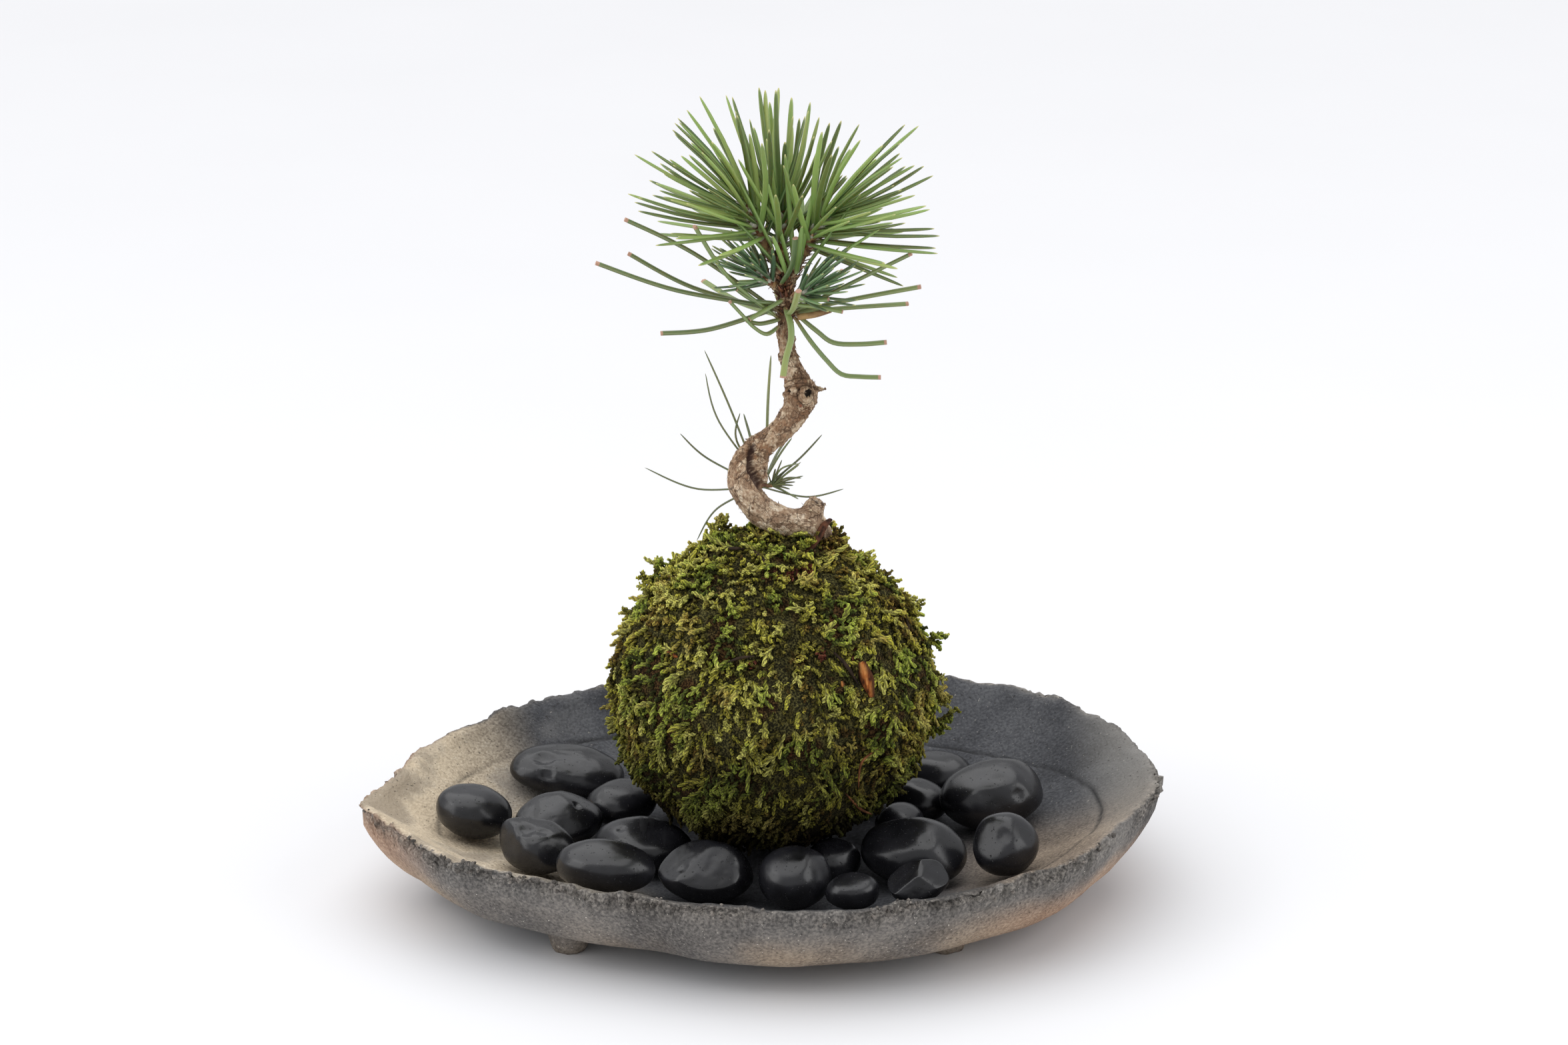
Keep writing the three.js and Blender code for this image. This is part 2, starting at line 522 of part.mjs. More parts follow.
// A needle's run for pair and twin of a shoot. nudge turns it a little, to try again when it meets another.
function shootNeedle(name, pair, twin, nudge) {
  const { shoot, pairs, lean, length, away } = SHOOTS[name];
  const seed = 100 * name.length + 7 * pair + shoot[0][0];
  const height = (pair + 0.5) / pairs;
  const step = (shoot.length - 1) * mix(0.25, 0.97, height);
  const base = vector(along(shoot, step));
  const heading = vector(along(shoot, step + 0.02)).sub(vector(along(shoot, step - 0.02))).normalize();
  const across = new THREE.Vector3(0.2, 1, 0.1).cross(heading).normalize();
  const over = heading.clone().cross(across);
  const round = pair * GOLDEN_TURN + 0.5 * chance(seed) + 0.35 * Math.sin(nudge * 2.4) * Math.sqrt(nudge);
  const degrees = mix(lean[0], lean[1], height ** 0.8) + 14 * (chance(seed + 1) - 0.5);
  const tilt = THREE.MathUtils.degToRad(degrees);
  const opened = tilt + 0.12 * Math.cos(nudge * 2.4) * Math.sqrt(nudge);
  const out = across.clone().multiplyScalar(Math.cos(round)).addScaledVector(over, Math.sin(round));
  const beside = out.clone().cross(heading).multiplyScalar(twin ? 1 : -1);
  const direction = heading.clone().multiplyScalar(Math.cos(opened)).addScaledVector(out, Math.sin(opened));
  direction.add(vector(away)).addScaledVector(beside, PAIR_SPREAD).normalize();
  base.addScaledVector(beside, 0.9 * NEEDLE_RADIUS).addScaledVector(out, 0.5);
  const size = mix(length[0], length[1], chance(seed + 2)) * (twin ? 1 : 0.96);
  const half = base.clone().addScaledVector(direction, size * 0.5);
  half.addScaledVector(out, size * 0.03 * chance(seed + 3));
  const tip = base.clone().addScaledVector(direction, size);
  return needleRun(base.toArray(), half.toArray(), tip.toArray(), name);
}

function needleGeometry({ points, cut }, number) {
  const kind = cut ? "cut" : "whole";
  const run = points.map((point, i) => [...point, NEEDLE_WIDTHS[kind][i] * NEEDLE_RADIUS]);
  return limb(run, { sides: 3, stations: NEEDLE_STATIONS[kind], pointed: !cut, turn: number * 1.3 });
}

function growNeedles() {
  const runs = new Map();
  const accept = (run) => {
    runs.get(run.spray).push(run);
    addObstacles(run.points, run.spray, 4, NEEDLE_RADIUS);
  };
  addObstacles(TRUNK, "trunk", 40);
  TRUNK_BRANCHES.forEach((points) => addObstacles(points, "trunk", 3));
  for (const [name, { shoot }] of Object.entries(SHOOTS)) {
    runs.set(name, []);
    addObstacles(shoot, name, 3);
  }
  runs.set("old_needles", []);
  runs.set("lower_spray", []);
  addObstacles(LOWER_SHOOT, "lower_spray", 3);
  const neck = trunkAtHeight((NECK.low + NECK.high) / 2);
  OLD_NEEDLES.forEach(([half, tip], i) => {
    const height = mix(NECK.low + 1.2, NECK.high - 1.2, chance(i + 40));
    const from = trunkAtHeight(height);
    const out = vector(half).sub(vector(from)).setZ(0).normalize();
    const base = vector(from).addScaledVector(out, neck[3] + GAP + NECK.thick * 0.6);
    accept(needleRun(base.toArray(), half, tip, "old_needles", true));
  });
  LOWER_NEEDLES.forEach(([half, tip], i) => {
    const base = along(LOWER_SHOOT, mix(0.6, 1.9, chance(i + 80))).slice(0, 3);
    accept(needleRun(base, half, tip, "lower_spray"));
  });
  const most = Math.max(...Object.values(SHOOTS).map(({ pairs }) => pairs));
  for (let pair = most - 1; pair >= 0; pair--)
    for (const [name, { pairs }] of Object.entries(SHOOTS)) {
      if (pair >= pairs) continue;
      for (const twin of [0, 1])
        for (let nudge = 0; nudge < NUDGES; nudge++) {
          const run = shootNeedle(name, pair, twin, nudge);
          if (!clearOfOthers(run)) continue;
          accept(run);
          break;
        }
    }
  return runs;
}

function trunkAtHeight(height) {
  let best = along(TRUNK, 0);
  for (let step = 0; step <= TRUNK.length - 1; step += 0.05) {
    const place = along(TRUNK, step);
    if (Math.abs(place[2] - height) < Math.abs(best[2] - height)) best = place;
  }
  return best;
}

// The neck's sleeve, open for the trunk that stands in it
function neckSleeve() {
  const ring = (height, extra) => {
    const [x, y, , radius] = trunkAtHeight(height);
    return Array.from({ length: NECK.sides }, (_, i) => {
      const angle = (2 * Math.PI * i) / NECK.sides;
      return [x + (radius + extra) * Math.cos(angle), y + (radius + extra) * Math.sin(angle), height];
    });
  };
  const inner = GAP + 0.25;
  const outer = inner + NECK.thick;
  return skin(
    [
      ring(NECK.low, inner), ring(NECK.low, outer - 0.3), ring((NECK.low + NECK.high) / 2, outer),
      ring(NECK.high, outer - 0.3), ring(NECK.high, inner),
    ],
    { wrap: true },
  );
}

function makeSpray(name, core, runs) {
  return toGeometry(mainPiece(fuse([core, ...runs.get(name).map(needleGeometry)])));
}

// Pebbles: a worn egg with flatter faces, then the heap of them settled in the dish
function pebblePoints([, , length, width, height, turn, worn], number) {
  const seed = number * 31 + 5;
  const tilt = new THREE.Euler(0.12 * (chance(seed) - 0.5), 0.12 * (chance(seed + 1) - 0.5), 0);
  const faces = Array.from({ length: 7 }, (_, i) => {
    const z = mix(-0.5, 0.9, chance(seed + 10 + i));
    const angle = 2 * Math.PI * chance(seed + 20 + i);
    const flat = Math.sqrt(1 - z * z);
    const normal = new THREE.Vector3(flat * Math.cos(angle), flat * Math.sin(angle), z);
    return { normal, depth: mix(0.8, 0.9, chance(seed + 30 + i)) };
  });
  return (direction) => {
    const { x, y, z } = direction;
    const lump = Math.sin(2.3 * x + seed) * Math.sin(2.1 * y + 2 * seed) + Math.sin(2.6 * z + 3 * seed);
    const point = direction.clone().multiplyScalar(1 + 0.035 * lump);
    for (const { normal, depth } of faces) {
      const over = point.dot(normal) - depth;
      if (over > 0) point.addScaledVector(normal, -over * worn);
    }
    point.multiply(new THREE.Vector3(length / 2, width / 2, height / 2));
    return point.applyEuler(tilt).applyAxisAngle(new THREE.Vector3(0, 0, 1), THREE.MathUtils.degToRad(turn));
  };
}

// The dish's slope at a spot, as the direction that points straight out of it
function dishSlope(x, y) {
  const reach = 6;
  const east = dishTop(x + reach, y) - dishTop(x - reach, y);
  const north = dishTop(x, y + reach) - dishTop(x, y - reach);
  return new THREE.Vector3(-east, -north, 2 * reach).normalize();
}

function dropPebble(pebble) {
  const lean = new THREE.Quaternion().setFromUnitVectors(
    new THREE.Vector3(0, 0, 1),
    dishSlope(pebble.x, pebble.y),
  );
  pebble.points = pebble.shape.map((p) => p.clone().applyQuaternion(lean));
  const room = Math.min(...pebble.points.map((p) => p.z - dishTop(p.x + pebble.x, p.y + pebble.y)));
  pebble.z = GAP + 0.12 - room;
  const place = new THREE.Vector3(pebble.x, pebble.y, pebble.z);
  pebble.points.forEach((p) => p.add(place));
}

// How far apart two sets of points are, along the best direction found in ever narrower fans of them
function separation(a, b, middleA, middleB) {
  let best = { gap: -Infinity, normal: middleB.clone().sub(middleA).normalize() };
  for (const reach of [0.35, 0.14, 0.05]) {
    const around = best.normal;
    for (let i = 0; i < 27; i++) {
      const sway = new THREE.Vector3((i % 3) - 1, (Math.floor(i / 3) % 3) - 1, Math.floor(i / 9) - 1);
      const normal = around.clone().addScaledVector(sway, reach).normalize();
      const near = Math.min(...b.map((p) => p.dot(normal)));
      const far = Math.max(...a.map((p) => p.dot(normal)));
      if (near - far > best.gap) best = { gap: near - far, normal };
    }
  }
  return best;
}

function settlePebbles(ballPoints) {
  const pebbles = PEBBLES.map((row, number) => {
    const place = pebblePoints(row, number);
    const geometry = roundSolid(PEBBLE_DETAIL, (direction) => place(direction).toArray());
    return { x: row[0], y: row[1], z: 0, shape: pointsOf(geometry), geometry };
  });
  const ballMiddle = new THREE.Vector3(BALL.x, BALL.y, BALL.z);
  const middleOf = ({ x, y, z }) => new THREE.Vector3(x, y, z);
  const room = GAP + 0.1;
  for (let round = 0; round < SETTLING_ROUNDS; round++) {
    pebbles.forEach(dropPebble);
    pebbles.forEach((a, i) => {
      pebbles.slice(i + 1).forEach((b) => {
        if (Math.hypot(a.x - b.x, a.y - b.y) > FARTHEST_NEIGHBOUR) return;
        const { gap, normal } = separation(a.points, b.points, middleOf(a), middleOf(b));
        if (gap >= room) return;
        const push = 0.5 * (room - gap) + 0.02;
        const flat = new THREE.Vector3(normal.x, normal.y, 0).normalize();
        a.x -= flat.x * push;
        a.y -= flat.y * push;
        b.x += flat.x * push;
        b.y += flat.y * push;
      });
      const { gap, normal } = separation(ballPoints, a.points, ballMiddle, middleOf(a));
      if (gap >= room && !CARRIERS.includes(i + 1)) return;
      const flat = new THREE.Vector3(normal.x, normal.y, 0).normalize();
      a.x += flat.x * (room - gap + 0.02);
      a.y += flat.y * (room - gap + 0.02);
    });
  }
  pebbles.forEach(dropPebble);
  return pebbles;
}

function pebbleMeshes(ballPoints) {
  return settlePebbles(ballPoints).map(({ geometry, points }, number) => {
    const position = geometry.getAttribute("position");
    points.forEach((p, i) => position.setXYZ(i, p.x, p.y, p.z));
    return mesh(`pebble_${String(number + 1).padStart(2, "0")}`, geometry, LOOKS.pebble);
  });
}

// The whole object
const moss = mainPiece(makeMoss());
const mossGeometry = toGeometry(moss);
const threadGeometry = toGeometry(fuse(makeThread()));
const ballPoints = [mossGeometry, threadGeometry].flatMap(pointsOf).filter((p) => p.z < BALL.z);

const runs = growNeedles();
const shootCore = (points) => limb(points, { sides: 6, stations: evenly(3) });

const kokedama = new THREE.Group();
kokedama.add(mesh("dish", makeDish(), LOOKS.dish));
kokedama.add(mesh("soil_ball", toGeometry(makeSoil()), LOOKS.soil));
kokedama.add(mesh("moss_blanket", mossGeometry, LOOKS.moss));
kokedama.add(mesh("binding_thread", threadGeometry, LOOKS.thread));
kokedama.add(mesh("trunk", makeTrunk(), LOOKS.bark));
for (const [name, { shoot }] of Object.entries(SHOOTS))
  kokedama.add(mesh(name, makeSpray(name, shootCore(shoot), runs), LOOKS.needle));
kokedama.add(mesh("old_needles", makeSpray("old_needles", neckSleeve(), runs), LOOKS.needle));
kokedama.add(mesh("lower_spray", makeSpray("lower_spray", shootCore(LOWER_SHOOT), runs), LOOKS.needle));
kokedama.add(...pebbleMeshes(ballPoints));

export default kokedama;
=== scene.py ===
# %% [markdown]
# # A moss ball plant in a clay dish
# A kokedama is a small tree whose roots are packed in a ball of soil and wrapped in living moss. This one
# is an S-shaped pine. It rests among polished black pebbles in a rough dish of fired clay. The packed
# model holds every piece at its real size and place. This script keeps those places and makes each
# surface as fine as it is on the real thing.

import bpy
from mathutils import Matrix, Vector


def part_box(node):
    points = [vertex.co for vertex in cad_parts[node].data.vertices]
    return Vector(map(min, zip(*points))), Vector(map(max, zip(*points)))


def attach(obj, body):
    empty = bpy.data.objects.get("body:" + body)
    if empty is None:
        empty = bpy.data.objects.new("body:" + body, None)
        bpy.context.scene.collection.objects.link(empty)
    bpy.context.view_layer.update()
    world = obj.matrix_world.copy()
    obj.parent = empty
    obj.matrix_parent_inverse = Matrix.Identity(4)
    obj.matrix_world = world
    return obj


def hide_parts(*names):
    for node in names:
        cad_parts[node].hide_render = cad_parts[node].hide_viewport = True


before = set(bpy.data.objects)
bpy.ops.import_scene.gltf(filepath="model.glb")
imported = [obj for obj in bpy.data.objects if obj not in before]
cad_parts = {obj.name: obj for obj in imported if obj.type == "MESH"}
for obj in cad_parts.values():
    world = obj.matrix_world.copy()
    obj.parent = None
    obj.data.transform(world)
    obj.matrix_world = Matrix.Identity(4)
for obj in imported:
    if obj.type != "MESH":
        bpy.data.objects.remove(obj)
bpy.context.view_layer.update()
print("nodes:", len(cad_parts))

# %% Tools and units
import math
import random

import bmesh
import bpy
import numpy as np
from mathutils import Vector, noise

MM = 0.001  # sizes below are in millimetres, and Blender's scene is in metres
GOLDEN_TURN = math.pi * (3 - math.sqrt(5))


def chance(seed):
    """A number from 0 to 1 that looks random and is always the same for the same seed."""
    value = math.sin(seed * 12.9898 + 4.137) * 43758.5453
    return value - math.floor(value)


def mix(low, high, share):
    return low + (high - low) * share


def ease(low, high, value):
    """0 below low, 1 above high, and a soft S between them."""
    share = np.clip((value - low) / (high - low), 0, 1)
    return share * share * (3 - 2 * share)


def along(points, step, closed=False):
    """The smooth curve through points: step 0 is the first point, 1 the second."""
    count = len(points)
    start = math.floor(step) if closed else min(math.floor(step), count - 2)
    t = step - start
    places = [start + n for n in (-1, 0, 1, 2)]
    picks = [points[i % count] if closed else points[min(max(i, 0), count - 1)] for i in places]
    return [
        0.5 * (2 * q + (r - p) * t + (2 * p - 5 * q + 4 * r - s) * t * t + (3 * q - p - 3 * r + s) * t**3)
        for p, q, r, s in zip(*picks)
    ]


# %% [markdown]
# The camera stands where the photographer's did: in front, 19 degrees above the table, with a long lens.
# The table and the wall behind it are one pale, matt floor, lit by large soft lamps and a white room.

# %% Camera
AIM = Vector((7.3, -4, 120.5)) * MM
CAMERA_DISTANCE = 1176 * MM
CAMERA_TILT = math.radians(19)

camera = bpy.data.objects.new("camera", bpy.data.cameras.new("camera"))
camera.data.lens = 90
camera.data.sensor_width = 36
camera.data.clip_start = 0.01
camera.location = AIM + CAMERA_DISTANCE * Vector((0, -math.cos(CAMERA_TILT), math.sin(CAMERA_TILT)))
camera.rotation_euler = (math.pi / 2 - CAMERA_TILT, 0, 0)
bpy.context.scene.collection.objects.link(camera)
bpy.context.scene.camera = camera
bpy.context.scene.view_settings.view_transform = "Standard"


# %% Lamps and room
def add_lamp(name, kind, place, watts, **settings):
    """A lamp that faces the moss ball."""
    lamp = bpy.data.objects.new(name, bpy.data.lights.new(name, kind))
    lamp.data.energy = watts
    for setting, value in settings.items():
        setattr(lamp.data, setting, value)
    lamp.location = place
    lamp.rotation_euler = (AIM - Vector(place)).to_track_quat("-Z", "Y").to_euler()
    bpy.context.scene.collection.objects.link(lamp)


SKY_SPREAD = math.radians(80)  # a lamp as wide as a tent over the table
add_lamp("tent_lamp", "SUN", (-0.2, 0.2, 1.3), 1.9, angle=SKY_SPREAD)
add_lamp("left_panel", "AREA", (-1.1, -0.35, 0.7), 4.6, size=0.9)
add_lamp("right_panel", "AREA", (1.1, -0.35, 0.7), 4.5, size=0.9)
room = bpy.data.worlds.new("room")
room.use_nodes = True
room.node_tree.nodes["Background"].inputs["Color"].default_value = (0.97, 0.98, 1, 1)
room.node_tree.nodes["Background"].inputs["Strength"].default_value = 0.64
bpy.context.scene.world = room

# %% [markdown]
# ## How the finishes are mixed
# A finish is a tree of shader nodes. Written as Python sums, such as `0.4 + 0.3 * speckle`, it reads like
# the recipe that it is, so a small class lets a socket take part in a sum, and one method adds any other
# node.


# %% A socket that takes part in sums
class Wire:
    def __init__(self, graph, socket):
        self.graph = graph
        self.socket = socket

    def sum(self, operation, first, second):
        return self.graph.node("ShaderNodeMath", {0: first, 1: second}, operation=operation)

    def __add__(self, other):
        return self.sum("ADD", self, other)

    def __sub__(self, other):
        return self.sum("SUBTRACT", self, other)

    def __rsub__(self, other):
        return self.sum("SUBTRACT", other, self)

    def __mul__(self, other):
        return self.sum("MULTIPLY", self, other)

    __radd__ = __add__
    __rmul__ = __mul__


# %% Colours, and a node tree with one method for any node
def tint(code):
    """A colour written as #rrggbb, in the linear light that Blender mixes."""
    parts = [int(code[i : i + 2], 16) / 255 for i in (1, 3, 5)]
    return (*[p / 12.92 if p <= 0.04045 else ((p + 0.055) / 1.055) ** 2.4 for p in parts], 1.0)


class Graph:
    def __init__(self, tree):
        self.tree = tree

    def node(self, kind, sockets=None, out=0, stops=None, **settings):
        """Adds a node. A socket takes a wire, a value, or a colour written as #rrggbb."""
        made = self.tree.nodes.new(kind)
        for name, value in settings.items():
            setattr(made, name, value)
        if stops:
            ramp = made.color_ramp
            for _ in stops[2:]:
                ramp.elements.new(0.5)
            for element, (place, colour) in zip(ramp.elements, stops):
                element.position = place
                element.color = tint(colour)
        for key, value in (sockets or {}).items():
            if isinstance(value, Wire):
                self.tree.links.new(value.socket, made.inputs[key])
            elif str(value).startswith("#"):
                made.inputs[key].default_value = tint(value)
            else:
                made.inputs[key].default_value = value
        return Wire(self, made.outputs[out]) if made.outputs else None


# %% A finish
class Finish(Graph):
    """A material. Its sizes are in millimetres on the piece."""

    def __init__(self, name):
        self.material = bpy.data.materials.new(name)
        self.material.use_nodes = True
        super().__init__(self.material.node_tree)
        self.tree.nodes.clear()
        self.place = self.node("ShaderNodeTexCoord", out="Object")
        self.heights = self.node("ShaderNodeSeparateXYZ", {0: self.place}, out="Z")

    def attribute(self, name, out="Fac"):
        return self.node("ShaderNodeAttribute", out=out, attribute_name=name)

    def grain(self, size, detail=3, place=None, stretch=None, out="Fac"):
        """Cloudy noise from 0 to 1 with lumps of a size."""
        place = place or self.place
        if stretch:
            place = self.node("ShaderNodeMapping", {"Vector": place, "Scale": stretch})
        sockets = {"Vector": place, "Scale": 0.5 / (size * MM), "Detail": detail}
        return self.node("ShaderNodeTexNoise", sockets, out=out)

    def cells(self, size, place):
        """How far each place is from the edge of its cell, for cells of a size."""
        sockets = {"Vector": place, "Scale": 1 / (size * MM)}
        return self.node("ShaderNodeTexVoronoi", sockets, out="Distance", feature="DISTANCE_TO_EDGE")

    def between(self, low, high, value):
        """0 below low, 1 above high, and a soft S between them."""
        sockets = {"Value": value, "From Min": low, "From Max": high}
        return self.node("ShaderNodeMapRange", sockets, out="Result", interpolation_type="SMOOTHSTEP")

    def layers(self, colour, *coats):
        """A colour with coats over it, each a share and a colour."""
        for share, coat in coats:
            sockets = {0: share, 6: colour, 7: coat}
            colour = self.node("ShaderNodeMix", sockets, out=2, data_type="RGBA")
        return colour

    def ramp(self, share, *stops):
        return self.node("ShaderNodeValToRGB", {"Fac": share}, out="Color", stops=stops)

    def line_at(self, distance, at, width):
        """1 where a distance is close to a value, falling to 0 at width from it."""
        off = self.node("ShaderNodeMath", {0: distance - at}, operation="ABSOLUTE")
        return 1 - self.between(0.4 * width, width, off)

    def astray(self, place, size, reach):
        """A place moved about by up to reach, so that a pattern on it turns crooked."""
        clouds = self.grain(size, place=place, out="Color")
        shift = self.node("ShaderNodeVectorMath", {0: clouds, 1: (0.5, 0.5, 0.5)}, operation="SUBTRACT")
        shift = self.node("ShaderNodeVectorMath", {0: shift, 1: [4 * reach * MM] * 3}, operation="MULTIPLY")
        return self.node("ShaderNodeVectorMath", {0: place, 1: shift}, operation="ADD")

    def near(self, spot, reach):
        """1 at a spot given in millimetres, falling to 0 at reach from it."""
        sockets = {0: self.place, 1: [v * MM for v in spot]}
        distance = self.node("ShaderNodeVectorMath", sockets, out="Value", operation="DISTANCE")
        return 1 - self.between(0, reach * MM, distance)

    def surface(self, colour, roughness, height=None, depth=0.2, **fixed):
        """Ends the tree in a surface. height raises it by up to depth."""
        sockets = {"Base Color": colour, "Roughness": roughness}
        sockets.update({name.replace("_", " "): value for name, value in fixed.items()})
        if height is not None:
            bump = {"Height": height, "Distance": depth * MM}
            sockets["Normal"] = self.node("ShaderNodeBump", bump, out="Normal")
        shader = self.node("ShaderNodeBsdfPrincipled", sockets, out="BSDF")
        self.node("ShaderNodeOutputMaterial", {"Surface": shader})
        return self.material


def plain_finish(name, stops, roughness, bump, depth, shade=None):
    """A finish whose colour runs through stops. bump is the size, detail and stretch of the grain that raises
    it by up to depth. shade gives the share along the stops, or else that grain does."""
    finish = Finish(name)
    size, detail, *stretch = bump
    height = finish.grain(size, detail, stretch=stretch)
    share = shade(finish, height) if shade else height
    return finish.surface(finish.ramp(share, *stops), roughness, height, depth=depth)


# %% [markdown]
# ## Helpers for meshes
# Large shapes are worked out as arrays of points and handed to Blender at once. What repeats or follows a
# path goes through Geometry Nodes, whose result is then kept as a plain mesh.


# %% New pieces
def give_values(piece, **attributes):
    """Named values on a piece's points, which a finish or a recipe can read."""
    for label, values in attributes.items():
        values = np.asarray(values)
        kind = "FLOAT_VECTOR" if values.ndim == 2 else "INT" if values.dtype.kind == "i" else "FLOAT"
        layer = piece.data.attributes.new(label, kind, "POINT")
        layer.data.foreach_set("vector" if values.ndim == 2 else "value", values.ravel())


def new_piece(name, points, faces=(), edges=(), finish=None, **attributes):
    """A piece from points in millimetres."""
    mesh = bpy.data.meshes.new(name)
    mesh.from_pydata((np.asarray(points, float) * MM).tolist(), list(edges), list(faces))
    if finish:
        mesh.materials.append(finish)
    mesh.shade_smooth()
    piece = bpy.data.objects.new(name, mesh)
    give_values(piece, **attributes)
    bpy.context.scene.collection.objects.link(piece)
    return piece


def applied(piece):
    """Turns a piece's modifiers into plain mesh."""
    graph = bpy.context.evaluated_depsgraph_get()
    mesh = bpy.data.meshes.new_from_object(piece.evaluated_get(graph))
    piece.modifiers.clear()
    piece.data = mesh
    return piece


def places_of(piece, what="co"):
    """A piece's points, or their normals, as rows of x, y, z."""
    values = np.zeros(len(piece.data.vertices) * 3)
    piece.data.vertices.foreach_get(what, values)
    return values.reshape(-1, 3) / (MM if what == "co" else 1)


def move_to(piece, points):
    piece.data.vertices.foreach_set("co", (points * MM).ravel())
    piece.data.update()


def rough(points, size, seed=0, octaves=2):
    """Smooth noise from about -1 to 1 at each point, with lumps of a size."""
    shift = Vector((17.3, -9.1, 5.7)) * (seed + 1)
    return np.array([noise.fractal(Vector(p) / size + shift, 1.0, 2.0, octaves) for p in points])


def waves(points, size, shift=(0, 0, 0)):
    """Smooth noise of one octave at each point, with waves of a size."""
    return np.array([noise.noise(Vector(p) / size + Vector(shift)) for p in points])


def unit(rows):
    """Each row as a direction one long."""
    return rows / np.maximum(np.linalg.norm(rows, axis=1, keepdims=True), 1e-9)


def ready(piece, slot, *nodes):
    """Says what carries a piece and which nodes it stands for. slot is not used."""
    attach(piece, "root")
    if nodes:
        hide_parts(*nodes)
    piece.data.calc_loop_triangles()
    print(piece.name, len(piece.data.loop_triangles), "triangles")


# %% Geometry Nodes trees with named inputs
class Recipe(Graph):
    def __init__(self, name, **inputs):
        super().__init__(bpy.data.node_groups.new(name, "GeometryNodeTree"))
        sockets = self.tree.interface.new_socket
        sockets("Geometry", in_out="INPUT", socket_type="NodeSocketGeometry")
        for label, kind in inputs.items():
            sockets(label, in_out="INPUT", socket_type="NodeSocket" + kind)
        sockets("Material", in_out="INPUT", socket_type="NodeSocketMaterial")
        sockets("Geometry", in_out="OUTPUT", socket_type="NodeSocketGeometry")
        self.entry = self.tree.nodes.new("NodeGroupInput")

    def given(self, label):
        return Wire(self, self.entry.outputs[label])

    def named(self, label, kind="FLOAT"):
        return self.node("GeometryNodeInputNamedAttribute", {"Name": label}, out="Attribute", data_type=kind)

    def finish(self, geometry):
        real = self.node("GeometryNodeRealizeInstances", {"Geometry": geometry})
        sockets = {"Geometry": real, "Material": self.given("Material")}
        self.node("NodeGroupOutput", {"Geometry": self.node("GeometryNodeSetMaterial", sockets)})

    def run(self, piece, **values):
        """Grows the recipe on a piece and keeps the result as plain mesh."""
        modifier = piece.modifiers.new(self.tree.name, "NODES")
        modifier.node_group = self.tree
        for item in self.tree.interface.items_tree:
            if item.in_out == "INPUT" and item.name in values:
                modifier[item.identifier] = values[item.name]
        return applied(piece)


# %% A recipe for stems: a tube round each path
stems = Recipe("stems", Sides="Int", Flatness="Float")
circle = stems.node("GeometryNodeCurvePrimitiveCircle", {"Resolution": stems.given("Sides"), "Radius": 1.0})
squash = stems.node("ShaderNodeCombineXYZ", {0: 1.0, 1: stems.given("Flatness"), 2: 1.0})
section = stems.node("GeometryNodeTransform", {"Geometry": circle, "Scale": squash})
sideways = stems.node("ShaderNodeSeparateXYZ", {0: stems.node("GeometryNodeInputPosition")})
edge = stems.node("ShaderNodeMath", {0: sideways}, operation="ABSOLUTE")
section = stems.node("GeometryNodeStoreNamedAttribute", {"Geometry": section, "Name": "edge", "Value": edge})
paths = stems.node("GeometryNodeMeshToCurve", {"Mesh": stems.given("Geometry")})
tube = {"Curve": paths, "Profile Curve": section, "Scale": stems.named("thick"), "Fill Caps": True}
stems.finish(stems.node("GeometryNodeCurveToMesh", tube))


def make_stems(name, runs, finish, stations, sides=6, flatness=1.0, taper=None):
    """A tube along each run of x, y, z and radius, which comes with a tone that its finish can read.
    stations are shares of the way along it, and taper gives each station a share of the radius."""
    points = np.array([along(run, (len(run) - 1) * share) for run, _ in runs for share in stations])
    count = len(stations)
    if taper is not None:
        points[:, 3] *= np.tile(taper, len(runs))
    piece = new_piece(
        name, points[:, :3], edges=[(i, i + 1) for i in range(len(points) - 1) if (i + 1) % count],
        thick=points[:, 3] * MM, share=np.tile(np.array(stations, float), len(runs)),
        tone=np.repeat([float(tone) for _, tone in runs], count),
    )
    stems.run(piece, Sides=sides, Flatness=flatness, Material=finish)
    piece.data.shade_smooth()
    return piece


# %% A recipe for scattered pieces: a copy of a small shape on each point
copies = Recipe("copies", Shapes="Collection")
from_set = {"Collection": copies.given("Shapes"), "Separate Children": True, "Reset Children": True}
one_shape = copies.node("GeometryNodeCollectionInfo", from_set)
along_aim = {"Vector": copies.named("aim", "FLOAT_VECTOR")}
upright = copies.node("FunctionNodeAlignRotationToVector", along_aim, axis="Z")
to_facing = {"Rotation": upright, "Vector": copies.named("facing", "FLOAT_VECTOR")}
turned = copies.node("FunctionNodeAlignRotationToVector", to_facing, axis="X", pivot_axis="Z")
copies.finish(
    copies.node(
        "GeometryNodeInstanceOnPoints",
        {
            "Points": copies.given("Geometry"), "Instance": one_shape, "Pick Instance": True,
            "Instance Index": copies.named("kind", "INT"), "Rotation": turned,
            "Scale": copies.named("size", "FLOAT_VECTOR"),
        },
    )
)


def scatter(name, shapes, finish, points, aim, facing, size, tone, kind):
    """Copies of shapes on points. Z of a shape goes along aim and its X towards facing."""
    kind = np.asarray(kind, np.int32)
    piece = new_piece(name, points, aim=aim, facing=facing, size=np.asarray(size) * MM, tone=tone, kind=kind)
    copies.run(piece, Shapes=shapes, Material=finish)
    piece.data.shade_smooth()
    return piece


def shape_set(name, shapes):
    """A collection of small shapes, each points in units of its size, faces, and a value on each point."""
    group = bpy.data.collections.new(name)
    for number, (points, faces, values) in enumerate(shapes):
        shape = new_piece(f"{name}_{number}", np.array(points) / MM, faces, up=np.array(values, float))
        bpy.context.scene.collection.objects.unlink(shape)
        group.objects.link(shape)
    return group


